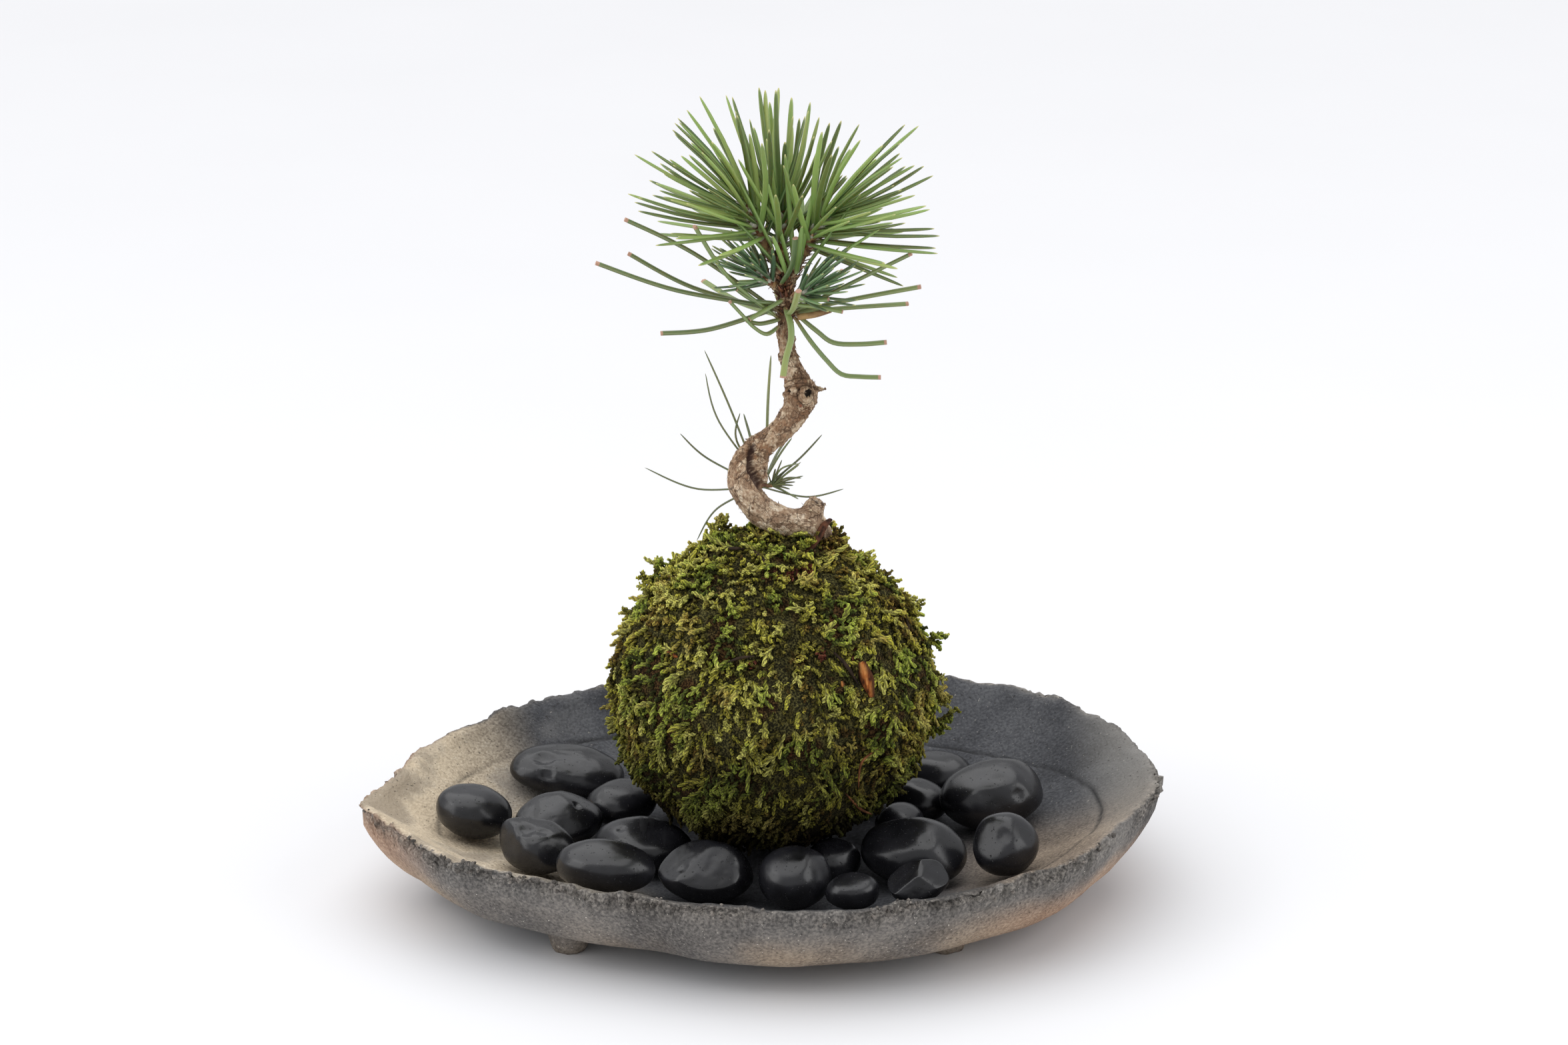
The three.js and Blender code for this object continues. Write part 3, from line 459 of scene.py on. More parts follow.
# %% [markdown]
# ## The dish
# The dish was built by hand from a coarse, dark clay and fired once, with no glaze. Its lip is torn and
# crumbly, its outside was brushed upwards with a stiff brush, and a scored line runs round the inside. It
# is a shape of rings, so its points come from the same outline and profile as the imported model, in much
# finer steps, and noise then moves each point along its normal.

# %% Outline of the lip, seen from above: x, y, and the height of its top
RIM = [
    [-124, -11, 33], [-113, -28, 33], [-97, -50, 33], [-78, -62, 32], [-57, -71, 31.5],
    [-34, -78, 31.5], [-12, -87, 32], [12, -89.5, 31.5], [36, -86, 32], [58, -79, 33],
    [78, -67, 33], [95, -56, 34], [108, -37, 35], [119, -17, 36], [124, -2, 36.5],
    [121, 20, 36.5], [113, 44, 36], [99, 66, 36], [78, 81, 36], [53, 87.5, 36],
    [18, 90, 36], [-20, 89, 36], [-50, 82, 35.5], [-74, 70, 35], [-93, 50, 34.5],
    [-107, 32, 34], [-115, 8, 33.5],
]
RIM_STEPS = 62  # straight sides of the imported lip
RIM_ROUGHNESS = 1.5
FLOOR_HEIGHT, UNDERSIDE_HEIGHT = 14, 6.5
RIM_WIDTH, RIM_ROUNDING = 6, 2.4
INNER_FLAT, INNER_CURVE = 0.25, 3.2
OUTER_FLAT, OUTER_CURVE = 0.66, 4.4
FEET = [(-57, -46), (56, -46), (0, 50)]
FOOT_TOP, FOOT_BOTTOM = 7.4, 4.8
DISH_SIDES = 600


def lip_points():
    lip = np.array([along(RIM, len(RIM) * i / RIM_STEPS, closed=True) for i in range(RIM_STEPS)])
    lip[:, 2] += RIM_ROUGHNESS * (np.array([chance(i + 1) for i in range(RIM_STEPS)]) - 0.5)
    lip[:, :2] -= (lip[:, :2].min(0) + lip[:, :2].max(0)) / 2
    lip = lip.tolist()
    return np.array([along(lip, RIM_STEPS * i / DISH_SIDES, closed=True) for i in range(DISH_SIDES)])


# %% Rings of the dish, from the middle of its underside, over the lip, to the middle of its floor
def dish_rings():
    lip = lip_points()
    wall = lip[:, 2] - RIM_ROUNDING
    inwards = 1 - RIM_WIDTH / np.hypot(lip[:, 0], lip[:, 1])
    rings = []

    def ring(share, height):
        share, height = (np.broadcast_to(value, wall.shape) for value in (share, height))
        rings.append(np.column_stack((lip[:, 0] * share, lip[:, 1] * share, height)))

    for share in [*np.linspace(0.06, 0.4, 5), *np.linspace(0.42, 0.8, 26), *np.linspace(0.813, 0.993, 15)]:
        rise = max(0, (share - OUTER_FLAT) / (1 - OUTER_FLAT)) ** OUTER_CURVE
        ring(share, mix(UNDERSIDE_HEIGHT, wall, rise))
    for way in np.linspace(0, 1, 11):
        rounding = RIM_ROUNDING * max(0, math.sin(math.pi * way**0.45)) ** 0.8  # highest near the outside
        ring(mix(1, inwards, way), wall + rounding)
    for share in [*np.linspace(0.992, 0.55, 54), *np.linspace(0.53, 0.25, 10), 0.15, 0.06]:
        rise = max(0, (share - INNER_FLAT) / (1 - INNER_FLAT)) ** INNER_CURVE
        ring(share * inwards, mix(FLOOR_HEIGHT, wall, rise))
    return np.array(rings)


def closed_rings(rings):
    """Points and faces of a closed skin over rings, with a point in the middle of the first and last."""
    count, sides = rings.shape[:2]
    points = np.vstack((rings.reshape(-1, 3), rings[0].mean(0), rings[-1].mean(0)))
    low, high = count * sides, count * sides + 1
    after = [(i + 1) % sides for i in range(sides)]
    faces = [
        (r * sides + i, r * sides + after[i], (r + 1) * sides + after[i], (r + 1) * sides + i)
        for r in range(count - 1)
        for i in range(sides)
    ]
    faces += [(low, after[i], i) for i in range(sides)]
    last = (count - 1) * sides
    faces += [(last + i, last + after[i], high) for i in range(sides)]
    return points, faces


# %% Distance of each point of the dish from the top of its lip, measured over the surface
rings = dish_rings()
dish_points, dish_faces = closed_rings(rings)
steps = np.linalg.norm(np.diff(rings, axis=0), axis=2).mean(1)
travelled = np.concatenate(([0], np.cumsum(steps)))
top_ring = int(rings[:, :, 2].mean(1).argmax())
from_lip = np.repeat(travelled - travelled[top_ring], DISH_SIDES)
from_lip = np.append(from_lip, [from_lip.min(), from_lip.max()])
print("over the outside:", round(-from_lip.min()), "mm, over the inside:", round(from_lip.max()), "mm")

# %% Feet, pressed out of the underside
FEET_FROM_LIP = 30  # the feet lie further than this from the lip, over the outside
for x, y in FEET:
    away = np.hypot(dish_points[:, 0] - x, dish_points[:, 1] - y)
    below = (from_lip < -FEET_FROM_LIP) & (dish_points[:, 2] < UNDERSIDE_HEIGHT + 3)
    drop = dish_points[:, 2] * (1 - ease(FOOT_BOTTOM, FOOT_TOP, away))
    dish_points[:, 2] -= np.where(below, drop, 0)

# %% Relief of the clay
LINE_MIDDLE, LINE_REACH = (3, 0), (102, 73)  # the scored oval inside
LINE_WIDTH, LINE_DEPTH = 0.55, 0.6
CHUNK_SIZE, BIT_SIZE = 4.6, 2.1  # of the broken clay on the lip


def bell(distance, width):
    """1 at a distance of 0, falling to nothing at about twice the width."""
    return np.exp(-((distance / width) ** 2))


def ridges(points, size, seed, width):
    """1 along winding lines, 0 away from them: where smooth noise crosses zero."""
    return bell(rough(points, size, seed, 1), width)


def broken(points, size):
    """For each point, a chance height of the chunk that it lies on, and how far off the chunk's edge is."""
    cells = [noise.voronoi(Vector(p) / size) for p in points]
    heights = np.array([noise.cell(places[0] * 7.7) for _, places in cells])
    return heights, np.array([distances[1] - distances[0] for distances, _ in cells])


def clay_relief(points, from_lip):
    """How far each point of the dish is moved out along its normal, how deep it lies in a crack, how deep
    in the scored line, and how crumbly it is."""
    angle = np.arctan2(points[:, 1], points[:, 0])
    circle = np.column_stack((np.cos(angle), np.sin(angle)))
    outside, inside = ease(1, 6, -from_lip), ease(-0.5, 3, from_lip)
    torn = ease(-0.35, 0.25, rough(points, 26, 3, 1) + 0.15)
    torn *= mix(1, 0.4, ease(-10, 40, points[:, 1]))  # the back of the lip stayed nearly whole
    crumble = bell(from_lip + 2.6 + 1.4 * rough(points, 7, 8), 3.2) * (0.2 + 0.8 * torn)
    chunks, chunk_edge = broken(points, CHUNK_SIZE)
    bits, bit_edge = broken(points, BIT_SIZE)
    lumps = 1.9 * (chunks - 0.4) + 1.0 * (bits - 0.5) + 0.6 * rough(points, 3, 1)
    splits = np.maximum(1 - ease(0.0, 0.16, chunk_edge), 0.6 - 0.6 * ease(0.0, 0.2, bit_edge)) * crumble
    downwards = np.column_stack((circle * 100, from_lip * 0.25))
    cracks = ridges(downwards, 9, 11, 0.035) * np.exp(-np.clip(-from_lip - 4, 0, None) / 5) * outside * torn
    swept = np.column_stack((circle * 22, from_lip * 0.8 + 5 * angle))
    drawn = np.column_stack((circle * 100, from_lip * 0.15))
    relief = crumble * lumps - 0.8 * splits - 0.55 * cracks
    sand_outside, sand_inside = (rough(points, 1.5, seed) for seed in (9, 10))
    relief += outside * (0.45 * rough(points, 22, 4) + 0.06 * rough(swept, 1.3, 5) + 0.07 * sand_outside)
    relief += inside * (0.3 * rough(points, 25, 6) + 0.07 * rough(drawn, 1.1, 7) + 0.05 * sand_inside)
    relief -= (0.5 * outside + 0.35 * inside) * 1.6 * np.clip(rough(points, 1.7, 12) - 0.5, 0, 1)
    oval = np.hypot(*((points[:, i] - LINE_MIDDLE[i]) / LINE_REACH[i] for i in (0, 1)))
    least = np.where(points[:, 0] > 20, 0.8, 0.25)  # on the left the line fades in places
    scored = mix(least, 1, ease(-0.15, 0.25, rough(points, 34, 15, 1)))
    groove = bell((oval - 1) * 85, LINE_WIDTH) * inside * scored
    return relief - LINE_DEPTH * groove, np.maximum(0.8 * splits, cracks), groove, crumble


def lip_notches(points, from_lip):
    """How far the torn top strays up and down."""
    strays = 0.55 * rough(points, 6, 13) + 0.8 * np.clip(rough(points, 11, 14, 1), -1, 0.3)
    return bell(from_lip, 5) * strays


# %% Finish of the fired clay
def clay_finish():
    """Places to the right, left and front are in metres, and distances from the lip in millimetres."""
    clay = Finish("fired_clay")
    right = clay.node("ShaderNodeSeparateXYZ", {0: clay.place}, out="X")
    left = 0 - right
    forwards = 0 - clay.node("ShaderNodeSeparateXYZ", {0: clay.place}, out="Y")
    from_lip = clay.attribute("from_lip")
    below_lip = 0 - from_lip
    crumbly = clay.attribute("crumble")
    streaks = clay.grain(1.2, 4, place=clay.attribute("brush", out="Vector"))
    fine = clay.grain(0.45, 5)
    clouds = clay.grain(26, 3)
    patches = clay.grain(11, 4)
    inside = clay.between(-0.5, 1.5, from_lip)
    mottle = fine * 0.5 + streaks * 0.08 + patches * 0.42

    def mottled(*colours):
        return clay.ramp(mottle, *zip((0.38, 0.5, 0.62), colours))

    tan = mottled("#665849", "#8d7c6a", "#ad9b85")
    low_down = clay.between(9, 26, below_lip + 16 * (clouds - 0.5))
    near_lip = 1 - clay.between(3, 13, below_lip + 18 * (clouds - 0.5))
    smoky = clay.between(0.4, 0.6, clouds) * 0.45 + clay.between(0.05, 0.07, left) * 0.4
    ends = clay.between(0.092, 0.118, left) + clay.between(0.055, 0.09, right) * low_down
    outer = clay.layers(
        mottled("#4a4745", "#6e6a66", "#8c867f"),
        (low_down * clay.between(0.35, 0.65, clouds), tan),
        (near_lip * smoky, mottled("#2e2e31", "#454648", "#5f6062")),
        (ends * 0.85, mottled("#84654f", "#ab8a71", "#c9a98f")),
    )
    ochre = clay.between(0.5, 0.62, patches) * clay.between(0.07, 0.09, left)
    sand = clay.layers(
        mottled("#9a8b77", "#c6b69e", "#dfd2bc"),
        (clay.between(0.085, 0.11, left) * 0.45, "#dcc9ac"), (ochre * 0.5, "#b0946a"),
    )
    ash = clay.between(0.45, 0.6, patches) * clay.between(0.05, 0.08, left)
    painted_glow = clay.between(0.045, 0.085, right) * clay.between(-0.012, 0.03, forwards + 0.02 * (clouds - 0.5))
    middle = (1 - clay.between(0.06, 0.08, left)) * (1 - clay.between(0.06, 0.08, right))
    inner = clay.layers(
        mottled("#28292d", "#3f4044", "#545558"),
        (clay.between(0.045, 0.09, left + 0.03 * (clouds - 0.5) + 0.42 * forwards), sand),
        # Painted light: a tan glow on the front of the well's right end, and a pale painted sheen along the
        # right edge.
        (ash * 0.5, "#6f6d6c"), (painted_glow * 0.8, tan), (clay.between(0.095, 0.118, right) * 0.45, "#a09c95"),
        # Painted shade: the inside of the front wall, between the ends, is darkened to stand for the shadow
        # there.
        (clay.between(0.05, 0.068, forwards) * middle * 0.8, "#2b2a2b"),
    )
    chalk = clay.between(0.06, 0.085, right) * crumbly * clay.between(0.4, 0.6, patches)
    grit = clay.between(0.71, 0.74, clay.grain(0.42, 2)) * (1 - inside * 0.6)
    pits = clay.between(0.68, 0.72, clay.grain(0.5, 2, stretch=(1, 1, 1.3)))
    colour = clay.layers(
        outer, (inside, inner),
        (crumbly * 0.55, clay.ramp(fine, (0.34, "#403c37"), (0.5, "#837c74"), (0.64, "#b3aba0"))),
        # Painted shade: the pits, splits, cracks and scored line are painted near black for the shade in
        # these hollows.
        (chalk * 0.7, "#b5b0a8"), (grit * 0.8, "#ddd6ca"), (pits * 0.65, "#24211e"),
        (clay.attribute("split") * 0.85, "#17150f"), (clay.attribute("scored") * 0.9, "#121214"),
    )
    height = fine * 0.9 + streaks * 0.1 - pits * 0.7
    return clay.surface(colour, 0.82 + 0.15 * fine, height, depth=0.32)


# %% The dish, moved and finished
dish = new_piece("fired_dish", dish_points, dish_faces, finish=clay_finish())
relief, split, groove, crumble = clay_relief(dish_points, from_lip)
relief *= ease(0.5, 2.5, dish_points[:, 2])
fine_points = dish_points + places_of(dish, "normal") * relief[:, None]
fine_points[:, 2] += lip_notches(dish_points, from_lip)
fine_points[:, 2] = np.maximum(fine_points[:, 2], 0)
move_to(dish, fine_points)
angle = np.arctan2(dish_points[:, 1], dish_points[:, 0])
reach = np.where(from_lip < 0, 24, 100)
brush_down = from_lip * np.where(from_lip < 0, 0.9, 0.15)
brush = np.column_stack((np.cos(angle) * reach, np.sin(angle) * reach, brush_down)) * MM
give_values(dish, from_lip=from_lip, scored=groove, split=split, crumble=crumble, brush=brush)
ready(dish, "dish_clay", "dish")


# %% Crumbs of clay that cling to the torn lip
def grain_shape(kind):
    """An angular grain, 1 across."""
    pick = random.Random(kind)
    ball = bmesh.new()
    bmesh.ops.create_icosphere(ball, subdivisions=1, radius=0.5)
    ball.verts.index_update()
    points = [vert.co * pick.uniform(0.7, 1.25) for vert in ball.verts]
    faces = [tuple(vert.index for vert in face.verts) for face in ball.faces]
    ball.free()
    return points, faces, [1.0] * len(points)


GRAIN_COUNT, GRAIN_KINDS = 520, 5
draw = np.random.default_rng(3)
clinging = crumble**3 * ease(0.1, 0.6, rough(dish_points, 12, 16, 1) + 0.3) * (dish_points[:, 2] > 20)
clinging *= mix(0.1, 1, ease(25, 45, -dish_points[:, 1]))  # most of them at the front
picked = draw.choice(len(dish_points), GRAIN_COUNT, p=clinging / clinging.sum())
normals = places_of(dish, "normal")[picked]
grain_size = draw.uniform(0.5, 1.45, (GRAIN_COUNT, 1)) ** 1.5 * draw.uniform(0.7, 1.2, (GRAIN_COUNT, 3))
grain_look = plain_finish(
    "crumbs_of_clay", [(0.1, "#3a3632"), (0.5, "#5e5954"), (0.85, "#807972")], 0.9, (0.4, 4), 0.2,
    shade=lambda clay, height: 0.7 * clay.attribute("tone") + 0.3 * clay.grain(0.5),
)
crumbs_of_clay = scatter(
    "crumbs_of_clay", shape_set("grain", [grain_shape(kind) for kind in range(GRAIN_KINDS)]), grain_look,
    places_of(dish)[picked] + draw.normal(0, 0.5, (GRAIN_COUNT, 3)) * [1, 1, 0.4] - normals * 0.4,
    unit(draw.normal(0, 1, (GRAIN_COUNT, 3))), normals, grain_size, draw.random(GRAIN_COUNT),
    draw.integers(0, GRAIN_KINDS, GRAIN_COUNT),
)
crumbs_of_clay.data.shade_flat()
ready(crumbs_of_clay, "dish_clay")

# %% [markdown]
# ## The pebbles
# Each pebble is a river stone tumbled with polish until it is satin black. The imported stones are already
# egg shaped with worn faces, so each is copied, smoothed by subdivision and brought back to its own box.
# Then it gets its own dents, ridges and pits.

# %% Worn faces of single stones
# Which way each face points, how far out it lies (1 is the stone's own edge), and how round its edges are
WORN_FACES = {
    1: [((0.1, -0.1, 1), 0.82, 0.1), ((-0.2, -1, 0.1), 0.86, 0.08)],
    2: [((-0.45, -0.35, 0.8), 0.76, 0.08), ((0.3, -0.85, 0.45), 0.76, 0.07), ((0.6, 0.1, 0.7), 0.85, 0.06)],
    3: [((0.1, 0, 1), 0.9, 0.1)],
    4: [((-0.85, -0.5, 0.25), 0.74, 0.06), ((0.15, -0.2, 0.95), 0.74, 0.08), ((0.6, -0.75, 0.3), 0.8, 0.06)],
    5: [((0, -0.3, 0.95), 0.88, 0.12)],
    6: [((0, -0.25, 0.97), 0.8, 0.1), ((-0.7, -0.5, 0.3), 0.82, 0.06)],
    8: [((-0.6, -0.2, 0.72), 0.68, 0.035), ((0.2, -0.75, 0.6), 0.66, 0.035), ((0.95, -0.2, 0.3), 0.8, 0.08)],
    9: [((0.75, -0.5, 0.4), 0.84, 0.08), ((-0.2, -0.6, 0.8), 0.88, 0.1)],
    11: [((0, -0.3, 0.95), 0.84, 0.08)],
    12: [((0.75, -0.45, 0.5), 0.84, 0.12), ((-0.25, -0.4, 0.85), 0.84, 0.12), ((0.1, -0.95, 0.2), 0.85, 0.1)],
    13: [((-0.6, -0.3, 0.7), 0.52, 0.025), ((0.55, -0.45, 0.7), 0.55, 0.03), ((0.1, -0.95, 0.3), 0.6, 0.03)],
    14: [((-0.25, -0.3, 0.92), 0.76, 0.1), ((0.2, -0.95, 0.25), 0.8, 0.1), ((0.85, -0.2, 0.45), 0.84, 0.12)],
    15: [((-0.5, -0.7, 0.5), 0.78, 0.07), ((0.6, -0.5, 0.6), 0.86, 0.1)],
    16: [((0, 0, 1), 0.86, 0.1)],
}
USUAL_FACES = [((0.2, -0.1, 1), 0.86, 0.08), ((-0.6, 0.5, 0.4), 0.86, 0.08)]
# Dents and ridges: where from the middle, the mark's reach and its depth (below 0 it stands up)
PEBBLE_MARKS = {
    1: [((-0.42, -0.4, 0.8), 4.6, 1.3), ((-0.3, -0.75, 0.35), 3.4, 0.9), ((0.05, -0.5, 0.8), 8, 0.5)],
    2: [((0.5, -0.25, 0.85), 2, 0.8), ((-0.15, -0.75, 0.5), 3, 0.5), ((0.2, -0.8, 0.3), 2.4, 0.5)],
    3: [((-0.6, -0.7, 0.3), 2.2, 0.4)],
    4: [((-0.25, -0.35, 0.85), 4.2, 1.0), ((0.2, -0.4, 0.85), 3, 0.5)],
    6: [((-0.5, -0.2, 0.85), 2, 0.6), ((-0.4, -0.7, 0.5), 1.8, 0.5)],
    8: [((-0.5, -0.55, 0.5), 3, 0.4)],
    9: [((0.1, -0.2, 0.95), 2.6, 0.4)],
    12: [((0.2, -0.6, 0.75), 3, 0.4), ((-0.5, -0.2, 0.8), 4, 0.5)],
    13: [((-0.1, -0.5, 0.8), 2.5, 0.4)],
    14: [((0.05, -0.45, 0.85), 3, 0.5), ((0.5, -0.75, 0.4), 3.2, 0.7), ((-0.2, -0.8, 0.4), 3, 0.5)],
    15: [((-0.1, -0.7, 0.6), 3.4, 0.5)],
}
PEBBLE_COUNT = 21
SHARP_STONES = (1, 2, 4, 8, 13)  # those with marks that need the finest mesh


# %% Finish of the polished stone
STAIN, STAIN_REACH = (50, -45.5, 33), 3.2
PALE_CHIP, PALE_CHIP_REACH = (-79, -14.5, 29.5), 0.9


def stone_finish():
    stone = Finish("polished_stone")
    clouds = stone.grain(5, 4)
    pits = stone.between(0.7, 0.74, stone.grain(0.45, 1))
    colour = stone.layers(
        stone.ramp(clouds, (0.3, "#0f0f11"), (0.7, "#232327")),
        (stone.between(0.73, 0.76, stone.grain(0.3, 2)) * 0.25, "#8f8f90"),
        (stone.near(STAIN, STAIN_REACH) * stone.between(0.45, 0.6, stone.grain(1.2, 3)) * 0.8, "#a08560"),
        (stone.near(PALE_CHIP, PALE_CHIP_REACH), "#b9b9b9"),
    )
    scratches = stone.between(0.66, 0.7, stone.grain(2, 2, stretch=(1, 0.15, 0.5)))
    height = 0 - pits * 0.8 + stone.grain(1.6, 3) * 0.25
    return stone.surface(colour, 0.22 + 0.1 * clouds + 0.12 * scratches + 0.3 * pits, height, depth=0.14)


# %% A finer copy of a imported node
def finer_copy(node, name, levels):
    """A smoothed copy of a node that fills the same box."""
    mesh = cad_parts[node].data.copy()
    loose = bmesh.new()
    loose.from_mesh(mesh)
    bmesh.ops.remove_doubles(loose, verts=loose.verts, dist=1e-6)
    loose.to_mesh(mesh)
    loose.free()
    mesh.materials.clear()
    piece = bpy.data.objects.new(name, mesh)
    bpy.context.scene.collection.objects.link(piece)
    modifier = piece.modifiers.new("smooth", "SUBSURF")
    modifier.levels = modifier.render_levels = levels
    applied(piece)
    low, high = (np.array(corner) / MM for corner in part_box(node))
    points = places_of(piece)
    middle = (points.min(0) + points.max(0)) / 2
    grown = (points - middle) * (high - low) / np.ptp(points, axis=0) + (low + high) / 2
    move_to(piece, grown)
    piece.data.shade_smooth()
    return piece


# %% Twenty-one stones
polished_stone = stone_finish()
for number in range(1, PEBBLE_COUNT + 1):
    node = f"pebble_{number:02d}"
    stone = finer_copy(node, f"stone_{number:02d}", 3 if number in SHARP_STONES else 2)
    points = places_of(stone)
    middle = (points.min(0) + points.max(0)) / 2
    half = np.ptp(points, axis=0) / 2
    share = (points - middle) / half
    for facing, depth, softness in WORN_FACES.get(number, USUAL_FACES):
        facing = np.array(facing) / np.linalg.norm(facing)
        beyond = (share @ facing - depth) / softness
        share -= facing * softness * np.logaddexp(0, beyond)[:, None] * 0.9
    points = middle + share * half
    inwards = 0.3 * rough(points, 9, number) - 0.25 + 0.07 * rough(points, 2.8, number + 50)
    for direction, reach, depth in PEBBLE_MARKS.get(number, []):
        spot = middle + np.array(direction) / np.linalg.norm(direction) * half * 0.9
        away = np.linalg.norm(points - spot, axis=1) * (1 + 0.25 * rough(points, 2.2, number + 9))
        inwards -= depth * (1 - ease(0.15 * reach, reach, away))
    move_to(stone, points + places_of(stone, "normal") * inwards[:, None])
    stone.data.materials.append(polished_stone)
    ready(stone, "pebble", node)

# %% [markdown]
# ## The trunk
# The pine is old and small: its trunk bends in an S and its bark is thin, tan and flaky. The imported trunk
# is a few tubes fused together. Here the same tubes are made finely, melted into one skin by a voxel
# remesh, and the bark is raised in plates whose edges lie in dark furrows.

# %% Middle line of the trunk and its side growths: x, y, z and radius
TRUNK = [
    [15.4, -3, 80, 2.6], [16.2, -3, 95, 3.9], [17.2, -3.2, 108, 4.4], [17.4, -3.6, 115.5, 4.6],
    [14.6, -4.2, 120.4, 4.6], [8.5, -5, 121, 4.4], [0.9, -6, 124.6, 4.6], [-4.2, -6, 131.5, 4.7],
    [-5.2, -4, 135.7, 4.4], [-4.3, -1.4, 139.3, 4.1], [-0.6, 0.6, 142.6, 3.9], [6.4, 0, 148.2, 4],
    [11.2, -1, 155.4, 4.7], [12.3, -2, 160, 5.4], [10.6, -3, 166.1, 3.7], [8.5, -3, 172.9, 3.3],
    [7.6, -3, 180.3, 2.8], [8.1, -3, 188.5, 2.6], [7.3, -3, 196, 2.3], [6.7, -3, 203, 1.8],
    [6.5, -2.4, 207, 1.3],
]
SIDE_GROWTHS = [
    [[7.4, -3, 195.5, 1.9], [5.2, -3.4, 200.5, 1.9], [1.6, -4.1, 206.6, 1.6]],
    [[8, -3, 192.5, 2], [10, -3.6, 198, 2], [13.2, -4.4, 204.8, 1.7]],
    [[7.6, -3, 190, 1.8], [5, -4, 194, 1.6], [3, -4.6, 196, 1.2]],
    [[8, -3.4, 187.5, 1.8], [10.4, -4.6, 190.4, 1.5], [12.4, -5.6, 192, 1.1]],
    [[14.6, -4.2, 121, 3.8], [16.2, -4.4, 124.6, 3.5], [17.6, -4.6, 127.8, 2.7]],
    [[4, 0, 146.5, 3.4], [1, -1.6, 143, 3.3], [-0.2, -2.8, 139.5, 3], [0.2, -4, 136, 2.4],
     [1.2, -4.4, 133, 1.4]],
    [[14, -2.6, 158.6, 3], [16.4, -3, 158.8, 2.6], [17.4, -3.2, 158.9, 1.9]],
    [[15, -2.6, 161.4, 1.4], [17.4, -3, 161.9, 1.3], [20.2, -3.4, 162.4, 0.2]],
    [[12.6, -3, 161, 3], [13.8, -5.4, 162, 2.9], [14.3, -6.9, 162.4, 2.4]],
    [[11.6, -2, 162.6, 3], [13.4, -1.8, 163.2, 2.4], [14.4, -1.8, 163.6, 1.6]],
]
BARK_STEP = 0.42  # between points on the bark
# Marks as they appear from the front, in millimetres right of and above the picture's middle: ovals with
# their middle, radii and height or depth, and lines
SWELLINGS = [((6.5, 38.2), (2.7, 3.1), 0.3), ((2.8, 39.2), (1.65, 1.6), 0.2)]
HOLES = [((7.3, 38.8), (1.25, 1.45), 1.8), ((1.1, 39.3), (1.05, 0.6), 1.3)]
COLLAR = [[-0.4, 40.8], [1.9, 41.8], [4, 42.4], [6.3, 42.7], [7.8, 42.5], [8.9, 41.4]]
LOBE_EDGE = [[9.1, 41.2], [9.1, 39.5], [9.2, 37], [9.7, 34.9]]
FOLD = [[-10, 23.4], [-10.3, 20], [-10, 16.4], [-8.5, 13.4], [-6.7, 10.4]]
FOLD_CRACK = [[-9.8, 21.6], [-8, 20.2], [-5.6, 19]]
BROKEN_STUB = (17.6, -5, 128.4)
RED_SPOT = (5, 34.7), (0.65, 0.6)
SMOOTH_BELOW, FLAKY_ABOVE = 131, 166  # heights between which the bark roughens
BARK_FOOT, BARK_FOOT_REACH = (19, -6, 112), 8  # darker where the trunk goes into the moss
# Nets of cracks: size of their cells, width, darkness, and between which values of the noise they come in
CRACK_NETS = [(2.3, 0.07, 0.8, 0.38, 0.52), (1.1, 0.08, 0.6, 0.4, 0.56)]


